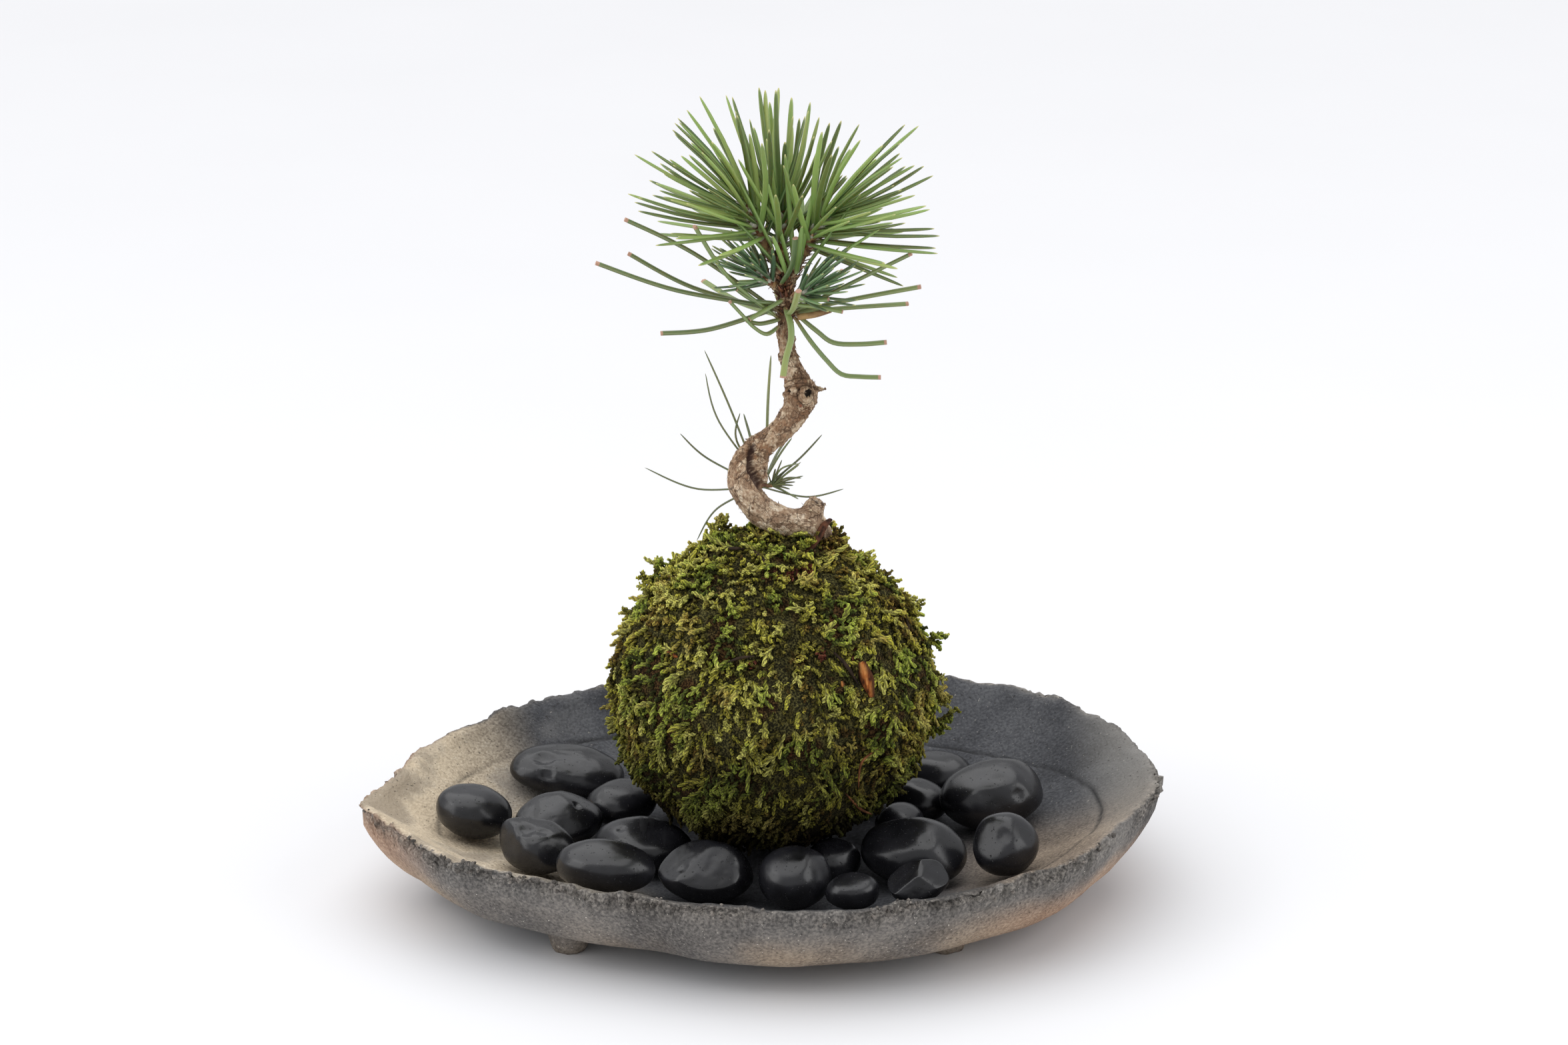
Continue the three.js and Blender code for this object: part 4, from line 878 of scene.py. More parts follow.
def bark_finish():
    bark = Finish("flaky_bark")
    skin = bark.attribute("skin", out="Vector")
    fine = bark.grain(0.4, 5)
    strands = bark.grain(0.3, 5, place=skin, stretch=(1, 1, 0.6))
    clouds = bark.grain(7, 3)
    mottle = fine * 0.4 + strands * 0.45 + bark.attribute("plate") * 0.15
    low = 1 - bark.between(0.124, 0.142, bark.heights + 0.01 * (clouds - 0.5))
    rust = bark.between(0.48, 0.62, bark.grain(1.1, 5)) * (1 - low * 0.6)
    upper = bark.between(0.183, 0.192, bark.heights)
    colour = bark.layers(
        bark.ramp(mottle, (0.36, "#82654c"), (0.48, "#b29679"), (0.62, "#dac6aa")),
        (low * 0.8, bark.ramp(mottle, (0.34, "#9a8169"), (0.47, "#c9b297"), (0.62, "#e9dac4"))),
        (rust * 0.4, "#9a6c48"),
        (upper * 0.85, bark.ramp(mottle, (0.34, "#6f4f36"), (0.47, "#a98866"), (0.62, "#d5bc95"))),
    )
    stretched = bark.node("ShaderNodeMapping", {"Vector": bark.astray(skin, 1.3, 0.7), "Scale": (1, 1, 0.7)})
    for size, width, darkness, none_below, full_above in CRACK_NETS:
        shown = bark.between(none_below, full_above, bark.grain(2.5, 3))
        crack = (1 - bark.between(0.01, width, bark.cells(size, place=stretched))) * shown
        colour = bark.layers(colour, (crack * darkness, "#432e20"))
    front = bark.attribute("front")
    knot, bump, collar = (bark.attribute(name) for name in ("knot", "bump", "collar"))
    smooth_wood = (1 - bark.between(0.95, 1.05, knot)) * front
    rings = bark.line_at(knot, 0.7, 0.07) * 0.3
    lines = bark.line_at(knot, 1.03, 0.1) + bark.line_at(bump, 1.03, 0.13) * 0.8 + rings
    lines = lines + bark.line_at(collar, 0.72, 0.24) + (1 - bark.between(0.08, 0.3, bark.attribute("lobe")))
    # Painted shade: the knot holes are painted near black for the shade inside them.
    hole_shade = (1 - bark.between(0.75, 0.95, bark.attribute("hole") + 0.3 * (fine - 0.5))) * front
    # Painted shade: the fold is painted dark brown for the shadow in its crease.
    fold = (1 - bark.between(0.3, 1.35, bark.attribute("fold") + 1.6 * (strands - 0.5))) * front
    red = (1 - bark.between(0.5, 1.0, bark.attribute("red"))) * front
    colour = bark.layers(
        colour, (bark.attribute("furrow") * 0.35, "#5a422f"),
        (smooth_wood * 0.2, bark.ramp(strands, (0.35, "#8a7156"), (0.6, "#c4ae8f"))),
        (lines * front * 0.7, "#45301f"), (hole_shade * 0.95, "#1c130d"), (fold * 0.9, "#39211a"),
        (red * 0.8, "#7d3f28"), (bark.attribute("dark") * 0.85, "#2c1b12"),
        (bark.near(BARK_FOOT, BARK_FOOT_REACH) * 0.7, "#3a2216"),
    )
    return bark.surface(colour, 0.82 + 0.12 * fine, fine * 0.5 + strands * 0.5, depth=0.5)


# %% The tubes, melted into one skin
flaky_bark = bark_finish()
trunk = make_stems("pine_trunk", [(TRUNK, 0.5)], flaky_bark, np.linspace(0, 1, 120), sides=24)
limbs = [(growth, 0.5) for growth in SIDE_GROWTHS]
growths = make_stems("growths", limbs, flaky_bark, np.linspace(0, 1, 12), sides=14)
joined = bmesh.new()
joined.from_mesh(trunk.data)
joined.from_mesh(growths.data)
joined.to_mesh(trunk.data)
joined.free()
bpy.data.objects.remove(growths)
melt = trunk.modifiers.new("melt", "REMESH")
melt.mode = "VOXEL"
melt.voxel_size = BARK_STEP * MM
settle = trunk.modifiers.new("settle", "SMOOTH")
settle.iterations = 3
applied(trunk)


# %% A trunk unrolled
def trunk_frame(points):
    """For each point, where it lies on the trunk made straight, and which way the trunk runs there."""
    line = np.array([along(TRUNK, (len(TRUNK) - 1) * i / 600)[:3] for i in range(601)])
    lengths = np.concatenate(([0], np.cumsum(np.linalg.norm(np.diff(line, axis=0), axis=1))))
    upwards = unit(np.gradient(line, axis=0))
    side = unit(np.cross(upwards, (0, 1, 0)))
    front = np.cross(side, upwards)
    nearest = np.array([np.argmin(((line - p) ** 2).sum(1)) for p in points])
    out = points - line[nearest]
    across = [(out * way[nearest]).sum(1) for way in (side, front)]
    return np.column_stack((*across, lengths[nearest])), upwards[nearest]


def from_line(points, line, steps=60):
    """How far each point lies from a smooth line."""
    fine = np.array([along(line, (len(line) - 1) * i / steps) for i in range(steps + 1)])
    return np.array([math.sqrt(((fine - p) ** 2).sum(1).min()) for p in points])


def seen_from_front(points):
    """Where points appear to the camera, in millimetres right of and above its picture's middle."""
    seen = (points * MM - np.array(camera.location)) @ np.array(camera.rotation_euler.to_matrix())
    return seen[:, :2] / -seen[:, 2:] * CAMERA_DISTANCE / MM


def from_middle(seen, middle, radii):
    """0 in the middle of an oval, and 1 on its edge."""
    return np.linalg.norm((seen - np.array(middle)) / np.array(radii), axis=1)


# %% Bark plates: each is a crooked cell, longer along the trunk, with its own height
points = places_of(trunk)
skin, upwards = trunk_frame(points)
seen = seen_from_front(points)
front = ease(0, 0.4, (places_of(trunk, "normal") * unit(np.array(camera.location) - points * MM)).sum(1))
crooked = skin * [1, 1, 0.62] + 0.8 * np.column_stack([rough(points, 2.2, seed) for seed in (20, 21, 22)])
flaky = mix(0.45, 1, ease(SMOOTH_BELOW, SMOOTH_BELOW + 12, points[:, 2]))
flaky = flaky + 0.5 * ease(FLAKY_ABOVE, FLAKY_ABOVE + 8, points[:, 2])
plate, plate_edge = broken(crooked, 2.4)
scale, scale_edge = broken(crooked + 40, 1.15)
furrow = 1 - ease(0.02, 0.16, plate_edge)
steps = 0.28 * (plate - 0.5) + 0.24 * (scale - 0.5)
relief = flaky * (steps - 0.2 * furrow - 0.1 * (1 - ease(0, 0.2, scale_edge)))
relief += 0.15 * rough(points, 1.4, 1) + 0.35 * rough(points, 5, 2)
marks = {"front": front, "furrow": furrow * np.clip(flaky, 0, 1), "plate": plate}
marks["hole"] = np.full(len(points), 9.0)
for label, (middle, radii, height) in zip(("knot", "bump"), SWELLINGS):
    marks[label] = share = from_middle(seen, middle, radii) * (1 + 0.1 * rough(points, 1.5, 30))
    relief = mix(relief, 0.7 * relief + height, front * (1 - ease(0.6, 1.05, share)))
    relief -= 0.5 * front * bell(share - 1.05, 0.12)
for middle, radii, depth in HOLES:
    share = from_middle(seen, middle, radii) * (1 + 0.22 * rough(points, 0.9, 31))
    marks["hole"] = np.minimum(marks["hole"], share)
    relief -= depth * front * (1 - ease(0.5, 1, share))
marks["collar"] = from_line(seen, COLLAR)
relief += front * (0.9 * bell(marks["collar"], 0.5) - 0.35 * bell(marks["collar"] - 0.9, 0.25))
marks["lobe"] = from_line(seen, LOBE_EDGE)
relief -= 0.6 * front * bell(marks["lobe"], 0.4)
marks["fold"] = np.minimum(from_line(seen, FOLD), from_line(seen, FOLD_CRACK) + 0.9)
relief -= 1.6 * front * bell(marks["fold"], 0.9)
marks["red"] = from_middle(seen, *RED_SPOT)
splintered = 1 - ease(2.2, 4, np.linalg.norm(points - np.array(BROKEN_STUB), axis=1))
relief += splintered * (0.9 * rough(points, 1.3, 5) - 0.2)
marks["dark"] = splintered * ease(-0.1, 0.4, rough(points, 1.8, 6))
move_to(trunk, points + places_of(trunk, "normal") * relief[:, None])
give_values(trunk, **marks, skin=skin * MM)
trunk.data.materials.clear()
trunk.data.materials.append(flaky_bark)
trunk.data.shade_smooth()
ready(trunk, "bark", "trunk")

# %% A flake of bark or a bud scale: a thin curved chip, 1 long, that ends in a point
CHIP_HALF_WIDTHS = [0.26, 0.3, 0.2, 0.02]
CHIP_THICKNESS = 0.07


def chip_shape(curl):
    points, values = [], []
    for step, half_width in enumerate(CHIP_HALF_WIDTHS):
        share = step / (len(CHIP_HALF_WIDTHS) - 1)
        bow = curl * share**2
        for x, y in ((bow, -half_width), (bow, half_width), (bow + CHIP_THICKNESS, 0)):
            points.append((x, y, share - 0.15))
            values.append(share)
    faces = [(0, 2, 1), (9, 10, 11)]
    for step in range(3):
        for side in range(3):
            low, after = 3 * step, (side + 1) % 3
            faces.append((low + side, low + after, low + 3 + after, low + 3 + side))
    return points, faces, values


CHIP_CURLS = (-0.15, 0.1, 0.3)
CHIP_KINDS = len(CHIP_CURLS)
chip_set = shape_set("chip", [chip_shape(curl) for curl in CHIP_CURLS])

# %% Flakes that lift off the bark
FLAKE_COUNT = 900
draw = np.random.default_rng(11)
normals = places_of(trunk, "normal")
flaking = np.where(points[:, 2] > 190, 1.5, np.where(points[:, 2] > 164, 1.2, 0.3)) * (points[:, 2] > 117)
picked = draw.choice(len(points), FLAKE_COUNT, p=flaking / flaking.sum())
flake_size = draw.uniform(0.5, 1.3, FLAKE_COUNT)
flake_look = plain_finish(
    "bark_flakes", [(0.1, "#6b4e38"), (0.4, "#a08464"), (0.95, "#d6c3a3")], 0.85, (0.5, 3), 0.1,
    shade=lambda bark, height: bark.attribute("tone"),
)
flake_aim = upwards[picked] * draw.choice([-1, 1], FLAKE_COUNT, p=[0.4, 0.6])[:, None]
flake_aim = flake_aim + normals[picked] * draw.uniform(0.05, 0.3, (FLAKE_COUNT, 1))
flake_aim = unit(flake_aim + draw.normal(0, 0.2, (FLAKE_COUNT, 3)))
flakes = scatter(
    "bark_flakes", chip_set, flake_look, places_of(trunk)[picked] - normals[picked] * 0.05, flake_aim,
    normals[picked], np.column_stack([flake_size] * 3), draw.random(FLAKE_COUNT),
    draw.integers(0, CHIP_KINDS, FLAKE_COUNT),
)
ready(flakes, "bark")

# %% [markdown]
# ## The needles
# Pine needles grow in pairs from shoots, each a flat-sided blade with a pale margin and a short pointed
# tip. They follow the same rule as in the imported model, with more pairs, so the crown keeps its form. The
# old ones round the neck were cut short. Each needle is a path, and the recipe for stems makes the blade
# round it.

# %% Shoots: x, y, z and radius; pairs of needles; their lean, length, and a pull that they share
SHOOTS = {
    "spray_left": (
        [[2.15, -3.95, 205.4, 1.7], [-1.2, -4.9, 212.5, 1.6], [-4.8, -5.8, 219.5, 1.2]],
        27, (86, 12), (25, 42), (-0.5, -0.05, 0),
    ),
    "spray_top": (
        [[6.55, -2.9, 203.4, 1.4], [6.4, -1.6, 210, 1.5], [6.6, 0.4, 217, 1.2]],
        23, (80, 8), (25, 39), (-0.05, 0.15, 0.15),
    ),
    "spray_right": (
        [[12.8, -4.4, 204, 1.8], [16.2, -5, 210.5, 1.7], [20.4, -5.6, 217, 1.2]],
        27, (86, 12), (23, 38), (0.4, -0.04, -0.12),
    ),
    "spray_low_left": (
        [[4.6, -4, 194.4, 1.2], [1.4, -5.2, 197, 1.1], [-1.4, -6.4, 200, 0.9]],
        20, (72, 12), (9, 18), (-0.3, -0.25, 0.15),
    ),
    "spray_low_right": (
        [[10.6, -4.6, 190.6, 1.2], [13.2, -6, 192.6, 1.1], [15.8, -7.4, 195, 0.9]],
        20, (66, 12), (9, 19), (0.35, -0.25, 0.15),
    ),
}
NEEDLE_RADIUS, OLD_RADIUS, LOWER_RADIUS = 0.88, 1.02, 0.45
PAIR_SPREAD = 0.09
OLD_NEEDLES = [
    [[-24, -7, 193.5], [-47.7, -9, 202.4]], [[-19, -8, 205], [-39, -10, 215.8]],
    [[-19.5, -2, 193], [-38.5, -2, 203.4]], [[-9, -12, 199], [-18.6, -17, 215.6]],
    [[-14, -6, 181.5], [-29, -8, 180.7]], [[25, -4, 189.5], [47.5, -6, 194.4]],
    [[24, 2, 185.5], [44.2, 5, 186.1]], [[26, -9, 195.8], [44.5, -11, 205.8]],
    [[6, 16, 184], [4, 33, 188]], [[16, 14, 185], [25, 28, 190]], [[-6, 14, 184], [-17, 27, 187]],
    [[10, -14, 190], [11.5, -27, 199]],
]
# Old needles in front of the neck, bent as they were pushed: the whole line and a tone
BENT_NEEDLES = [
    ([[7.6, -5.4, 187.8], [9.1, -8.8, 184.4], [9.4, -10.5, 179.8], [7.9, -11.6, 174.2],
      [7, -12, 168.3]], 1.0),
    ([[10.6, -5, 186], [16.9, -6, 180.9], [21.9, -6.4, 177.4], [29.7, -6.6, 177], [37.6, -6.6, 177.6]], 0.5),
    ([[10.4, -5.4, 184.9], [15, -7.6, 178.4], [19.9, -8, 172.4], [24.2, -8, 168.2], [29.7, -8, 167.4],
      [35.9, -8, 167.2]], 0.55),
    ([[5.8, -5.6, 182.2], [2.2, -8, 180.5], [-1.7, -9, 183], [-4.6, -9.6, 186.4], [-8.7, -10, 191.1]], 0.6),
    ([[7, -5.6, 190.3], [2.2, -8, 188.1], [-2.9, -9.6, 185.4]], 0.9),
    ([[5.4, -5, 189.1], [-1.7, -8, 190.8], [-6.7, -9.6, 194.6]], 0.45),
    ([[6.2, -5, 184.2], [0.4, -7, 183.4], [-3.8, -8, 184.6]], 0.5),
    ([[6.4, -5.4, 195], [9.6, -10, 202], [10.6, -12.6, 211]], 0.35),
    ([[9.8, -5.6, 190.2], [15.4, -9, 191], [20.4, -10.6, 191.8]], 0.95),
    ([[10, -5.6, 188.8], [17, -8.6, 189], [24.6, -9.6, 187.8]], 0.95),
]
# Young needles that rise in front of the neck: root and tip
FRONT_NEEDLES = [
    ([6.8, -6, 199.1], [-11.5, -12, 221]), ([10.3, -6, 199.8], [7.6, -9, 235]),
    ([11.8, -6, 201.1], [17.3, -9, 231]), ([13.4, -6, 199.8], [29.6, -9, 223.2]),
    ([9.1, -6, 199.8], [1.6, -10, 230.1]),
    ([15.3, -6, 198.5], [35.2, -9, 212.6]), ([4.1, -6, 205.7], [-5.9, -10, 227.5]),
    ([11, -6, 198.4], [12.6, -11, 214]), ([8.4, -6, 197.4], [4, -11, 211]),
]
BROWN_STUB = [[11.4, -5.6, 185], [16.5, -7, 186.2], [21, -7.4, 187.8]]
LOWER_SHOOT = [[-1.9, -0.2, 130.6, 1.1], [0.8, 2.4, 130, 0.85], [3.7, 4.4, 129.3, 0.5]]
LOWER_NEEDLES = [
    [[-8.9, 8, 152.8], [-16.5, 8, 170.9]], [[-12.1, 4, 149.6], [-16.2, 4, 164.9]],
    [[-15.9, 8, 136.9], [-24, 8, 144.7]], [[-18.6, 5, 128.1], [-34.7, 5, 134.9]],
    [[-12.8, 3, 122.6], [-19.1, 3, 112.3]], [[-6.9, 6, 143], [-5.9, 7, 151.5]],
    [[2.4, 9, 152.5], [3.4, 9, 169]], [[11.7, 7, 136.8], [18.8, 7, 144.7]],
    [[6, 8, 138], [9.7, 10, 142.7]], [[6.5, 5, 134.5], [11.5, 5.5, 136]],
    [[8, 5, 131.5], [12.5, 5.5, 131.4]], [[14, 5, 125.6], [25.3, 5, 128.1]],
    [[-2, 14, 138], [-5, 24, 146]], [[5, 14, 136], [10, 23, 141]],
]
# Short needles that just opened there: how far each reaches to the right and up
LOWER_BUDS = [
    (8.7, 8.1), (8.2, 6.5), (9.4, 3.5), (4.1, 0.8), (6.4, 0), (5.4, -1.1), (8, -3.8), (6.4, -3), (-1.5, 4.3),
    (3, 8.5), (1, 6), (5, 5.5), (2, 4.5), (4.4, -2.4), (7, 1.6), (3.4, 2.4),
]
NECK_LOW, NECK_HIGH = 182.5, 188.6


# %% Finish of a needle: share runs from its root to its tip, and edge is 1 at its margins
def needle_finish(name, dark, bright, margin, tip, tip_from, tip_reach, root="#b9bb8c"):
    needle = Finish(name)
    share, tone = needle.attribute("share"), needle.attribute("tone")
    rim = needle.between(0.6, 1.0, needle.attribute("edge"))
    yellowed = needle.between(0.55, 0.72, needle.grain(14, 2) * 0.7 + tone * 0.3)
    colour = needle.layers(
        dark, (needle.between(0.1, 0.95, tone + 0.35 * (needle.grain(9) - 0.5)), bright),
        (rim * 0.35, margin), (yellowed * 0.45, "#a8a860"),
        ((1 - needle.between(0.02, 0.12, share)) * 0.75, root),
        (needle.between(tip_from, tip_from + tip_reach, share), tip),
    )
    height = needle.grain(0.5, 2, stretch=(1, 1, 0.3))
    return needle.surface(colour, 0.4, height, depth=0.08, Subsurface_Weight=0.06)


# %% Where a needle of a shoot runs
def directions(line, step):
    """The way along a line at a step of it, and two ways across it."""
    heading = (Vector(along(line, step + 0.02)[:3]) - Vector(along(line, step - 0.02)[:3])).normalized()
    across = Vector((0.2, 1, 0.1)).cross(heading).normalized()
    return heading, across, heading.cross(across)


def shoot_needle(name, pair, twin):
    shoot, pairs, lean, length, pull = SHOOTS[name]
    seed = 100 * len(name) + 7 * pair + shoot[0][0]
    height = (pair + 0.5) / pairs
    step = (len(shoot) - 1) * mix(0.2, 0.98, height)
    base = Vector(along(shoot, step)[:3])
    heading, across, over = directions(shoot, step)
    turn = pair * GOLDEN_TURN + 0.5 * chance(seed)
    tilt = math.radians(mix(lean[0], lean[1], height**0.8) + 22 * (chance(seed + 1) - 0.5))
    out = across * math.cos(turn) + over * math.sin(turn)
    beside = out.cross(heading) * (1 if twin else -1)
    direction = heading * math.cos(tilt) + out * math.sin(tilt) + Vector(pull) + beside * PAIR_SPREAD
    direction.normalize()
    base += beside * 0.8 * NEEDLE_RADIUS + out * 0.5
    size = mix(length[0], length[1], chance(seed + 2)) * (1 if twin else 0.96)
    bow = size * (0.03 * chance(seed + 3) + 0.02)
    half = base + direction * size * 0.5 + out * bow + beside * size * 0.02 * (chance(seed + 4) - 0.5)
    return [base, half, base + direction * size]


NEEDLE_STATIONS = [0, 0.05, 0.2, 0.4, 0.6, 0.8, 0.9, 0.96, 0.985, 1]
BENT_STATIONS = [*np.linspace(0, 0.95, 20), 0.975, 1]
POINTED = [0.7, 0.85, 1, 1, 0.97, 0.84, 0.64, 0.4, 0.24, 0.04]


def make_needles(name, runs, finish, radius, cut=False, tones=None, stations=NEEDLE_STATIONS):
    """Flat blades along runs, which end in a point, unless they were cut."""
    taper = np.interp(stations, NEEDLE_STATIONS, POINTED)
    if cut:
        taper = [mix(0.72, 1, min(1, 5 * share)) for share in stations]
    blades = []
    for number, points in enumerate(runs):
        tone = tones[number] if tones else chance(number * 3.7 + len(runs))
        blades.append(([[*point, radius * mix(0.9, 1.08, chance(number + 60))] for point in points], tone))
    return make_stems(name, blades, finish, stations, sides=6, flatness=0.62, taper=taper)


# %% Sprays of young needles
young = needle_finish("young_needles", "#385521", "#8cab5a", "#b3c788", "#cfc886", 0.93, 0.07)
bluish = needle_finish("bluish_needles", "#3d5c40", "#779a68", "#a3b892", "#cfca80", 0.88, 0.12)
old = needle_finish(
    "old_needles_green", "#4a6339", "#83985a", "#a9b488", "#b98d78", 0.955, 0.015, root="#8f6a4c"
)
dull = needle_finish("dull_needles", "#4b5738", "#7d8a5e", "#98a07c", "#8d8a5c", 0.96, 0.03, root="#7d8a55")
pair_roots = []
for name, shoot in SHOOTS.items():
    runs = [shoot_needle(name, pair, twin) for pair in range(shoot[1]) for twin in (0, 1)]
    pair_roots += [((a[0] + b[0]) / 2, (a[1] + b[1]) / 2) for a, b in zip(runs[::2], runs[1::2])]
    if name == "spray_top":
        for root, tip in FRONT_NEEDLES:
            root, tip = Vector(root), Vector(tip)
            runs.append([root, (root + tip) / 2 + Vector((0, -1.2, 0.6)), tip])
    look, radius = (bluish, 0.62) if "low" in name else (young, NEEDLE_RADIUS)
    ready(make_needles(name.replace("spray", "needles"), runs, look, radius), "needles", name)

# %% The thin spray behind the first bend, dull green
lower_runs = []
for number, (half, tip) in enumerate(LOWER_NEEDLES):
    base = along(LOWER_SHOOT, mix(0.6, 1.9, chance(number + 80)))[:3]
    lower_runs.append([base, half, tip])
root = Vector(LOWER_SHOOT[-1][:3])
for number, (aside, rise) in enumerate(LOWER_BUDS):
    reach = Vector((aside, 3 * (chance(number + 200) - 0.6), rise))
    lower_runs.append([root, root + 0.5 * reach + Vector((0, 0, 0.25)), root + reach])
lower = make_needles("needles_lower", lower_runs, dull, LOWER_RADIUS, stations=BENT_STATIONS)
ready(lower, "needles", "lower_spray")


# %% Old needles round the neck
def trunk_at(height):
    line = [along(TRUNK, (len(TRUNK) - 1) * i / 400) for i in range(401)]
    return min(line, key=lambda spot: abs(spot[2] - height))


old_runs, old_tones = [], []
neck_radius = trunk_at((NECK_LOW + NECK_HIGH) / 2)[3]
for number, (half, tip) in enumerate(OLD_NEEDLES):
    x, y, z, _ = trunk_at(mix(NECK_LOW + 1.2, NECK_HIGH - 1.2, chance(number + 40)))
    out = Vector((half[0] - x, half[1] - y, 0)).normalized()
    base = Vector((x, y, z)) + out * (neck_radius - 0.4)
    old_runs.append([base, half, tip])
    old_tones.append(chance(number + 21))
old_runs += [line for line, _ in BENT_NEEDLES]
old_tones += [tone for _, tone in BENT_NEEDLES]
cut_ones = make_needles(
    "needles_old", old_runs, old, OLD_RADIUS, cut=True, tones=old_tones, stations=BENT_STATIONS
)
ready(cut_ones, "old_needles", "old_needles")

# %% The shoots that carry them, and a dead stub
shoot_look = plain_finish(
    "shoot_skin", [(0.35, "#5a3524"), (0.65, "#b08d5c")], 0.7, (0.8, 3), 0.3,
    shade=lambda skin, height: skin.grain(1.5, 3),
)
shoot_lines = [shoot[0] for shoot in SHOOTS.values()]
shoot_runs = [(line, 0.5) for line in [*shoot_lines, LOWER_SHOOT, [[*spot, 0.95] for spot in BROWN_STUB]]]
ready(make_stems("shoots", shoot_runs, shoot_look, np.linspace(0, 1, 14), sides=10), "bark")

# %% Papery sheaths round the roots of the pairs
SHEATH_STATIONS, SHEATH_ENDS = [0, 0.3, 0.6, 0.85, 1], [0.8, 1, 1, 0.95, 0.7]
sheath_look = plain_finish(
    "papery_sheath", [(0.1, "#6b452c"), (0.5, "#98866e"), (0.95, "#c9c6b8")], 0.7, (0.6, 3, 1, 1, 0.4), 0.15,
    shade=lambda paper, fibres: paper.attribute("share") + 0.4 * (fibres - 0.5),
)
sheaths = []
for number, (root, half) in enumerate(pair_roots):
    towards = (half - root).normalized()
    end = root + towards * mix(1.2, 3, chance(number + 5))
    sheaths.append(([[*(root - towards * 1.2), 0.9], [*root, 1.25], [*end, 1.1]], chance(number)))
sheath_piece = make_stems(
    "needle_sheaths", sheaths, sheath_look, SHEATH_STATIONS, sides=6, flatness=0.75, taper=SHEATH_ENDS
)
ready(sheath_piece, "needles")

# %% Bud scales on the shoots, in the forks and round the neck
SCALE_COUNT = 420
NECK = [[8, -3, 184, 2.9], [8, -3, 190, 2.7], [7.4, -3, 196, 2.5], [6.8, -2.8, 203, 2.2]]
scale_lines = [*shoot_lines, NECK, NECK, SIDE_GROWTHS[0], SIDE_GROWTHS[1]]
draw = np.random.default_rng(5)
scale_places, scale_aims, scale_outs = [], [], []
for number in range(SCALE_COUNT):
    line = scale_lines[number % len(scale_lines)]
    step = (len(line) - 1) * draw.uniform(0.02, 0.95)
    *spot, radius = along(line, step)
    heading, across, over = directions(line, step)
    turn = draw.uniform(0, 2 * math.pi)
    outwards = across * math.cos(turn) + over * math.sin(turn)
    scale_places.append(Vector(spot) + outwards * radius * 0.85)
    scale_aims.append((heading + outwards * draw.uniform(0.3, 1.1)).normalized())
    scale_outs.append(outwards)
scale_look = plain_finish(
    "bud_scales", [(0.1, "#57301f"), (0.5, "#8a5637"), (0.95, "#c9a27c")], 0.6, (0.4, 2), 0.05,
    shade=lambda scale, height: scale.attribute("tone"),
)
scale_size = draw.uniform(1.6, 3.2, SCALE_COUNT)
scales = scatter(
    "bud_scales", chip_set, scale_look, scale_places, scale_aims, scale_outs,
    np.column_stack((scale_size, scale_size * 0.8, scale_size)), draw.random(SCALE_COUNT),
    draw.integers(0, CHIP_KINDS, SCALE_COUNT),
)
ready(scales, "bark")

# %% [markdown]
# ## The moss
# The moss blanket is thousands of small leafy shoots that lie over each other and hang down the ball. A
# dark bed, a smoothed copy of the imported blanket, fills the gaps. On it one recipe sets shoots of a few
# shapes, each turned and sized by its place: long leafy ones that droop and lie in swirls, and short
# tufts between them. A shape has only a few dozen faces, because it is repeated thousands of times.

# %% Finishes of the moss
BALL = np.array([4.1, -4, 68])
MOSS_RADIUS, MOSS_HALF_HEIGHT = 48.2, 47.2


def moss_finish(name, bed=False):
    moss = Finish(name)
    tone, up = moss.attribute("tone"), moss.attribute("up")
    patches = moss.grain(9, 3)
    hues = moss.grain(6, 2, stretch=(1, 1, 0.8))
    fine = moss.grain(0.5, 4)
    if bed:
        leaflets = moss.between(0.3, 0.7, moss.grain(0.3, 6))
        shade = 0.6 * leaflets + 0.35 * moss.grain(2.2, 3) + 0.1 * patches
        brown = moss.ramp(shade, (0.25, "#1d140c"), (0.5, "#3e2b19"), (0.75, "#6a5030"))
        colour = moss.layers(
            moss.ramp(shade, (0.25, "#201e14"), (0.5, "#423f26"), (0.75, "#706a3e")),
            (moss.between(0.52, 0.64, hues), brown), (tone * leaflets * 0.8, "#a5a24a"),
        )
    else:
        crooked = moss.astray(moss.place, 0.8, 0.2)
        leaflets = moss.between(0.02, 0.3, moss.cells(0.45, crooked)) * 0.6 + 0.4 * fine
        shade = moss.between(0.1, 0.9, tone * 0.75 + patches * 0.6 - 0.17)
        deep = moss.ramp(shade, (0.1, "#2d2a1a"), (0.5, "#48462a"), (0.9, "#66613a"))
        olive = moss.ramp(
            shade, (0.05, "#62592b"), (0.3, "#978c3c"), (0.55, "#cfc748"), (0.78, "#ebe558"),
            (0.97, "#f8f480"),
        )
        green = moss.ramp(shade, (0.1, "#46562a"), (0.5, "#86a23e"), (0.9, "#cfe458"))
        gold = moss.ramp(shade, (0.1, "#74532b"), (0.5, "#b89444"), (0.9, "#ecd470"))
        bright = moss.layers(
            olive, (moss.between(0.52, 0.62, hues) * 0.85, green),
            ((1 - moss.between(0.37, 0.46, hues)) * 0.8, gold),
        )
        # Dark deep in each shoot and at the edges of its leaflets, bright at the leaf tips: partly darker old
        # leaves and paler young tips, and partly painted shade and painted light.
        colour = moss.layers(deep, (moss.between(0.15, 0.85, 0.65 * up + 0.4 * leaflets), bright))
    # Painted shade: the moss darkens towards the bottom of the ball and is darkest at its foot.
    low_shade = 1 - moss.between(0.028, 0.092, moss.heights + 0.03 * (patches - 0.5))
    foot_shade = 1 - moss.between(0.028, 0.05, moss.heights + 0.012 * (patches - 0.5))
    colour = moss.layers(colour, (low_shade * 0.78, "#14110a"), (foot_shade * 0.9, "#150c08"))
    height = 0.7 * leaflets + 0.3 * fine
    return moss.surface(colour, 0.85, height, depth=1.0 if bed else 0.4, Specular_IOR_Level=0.08)


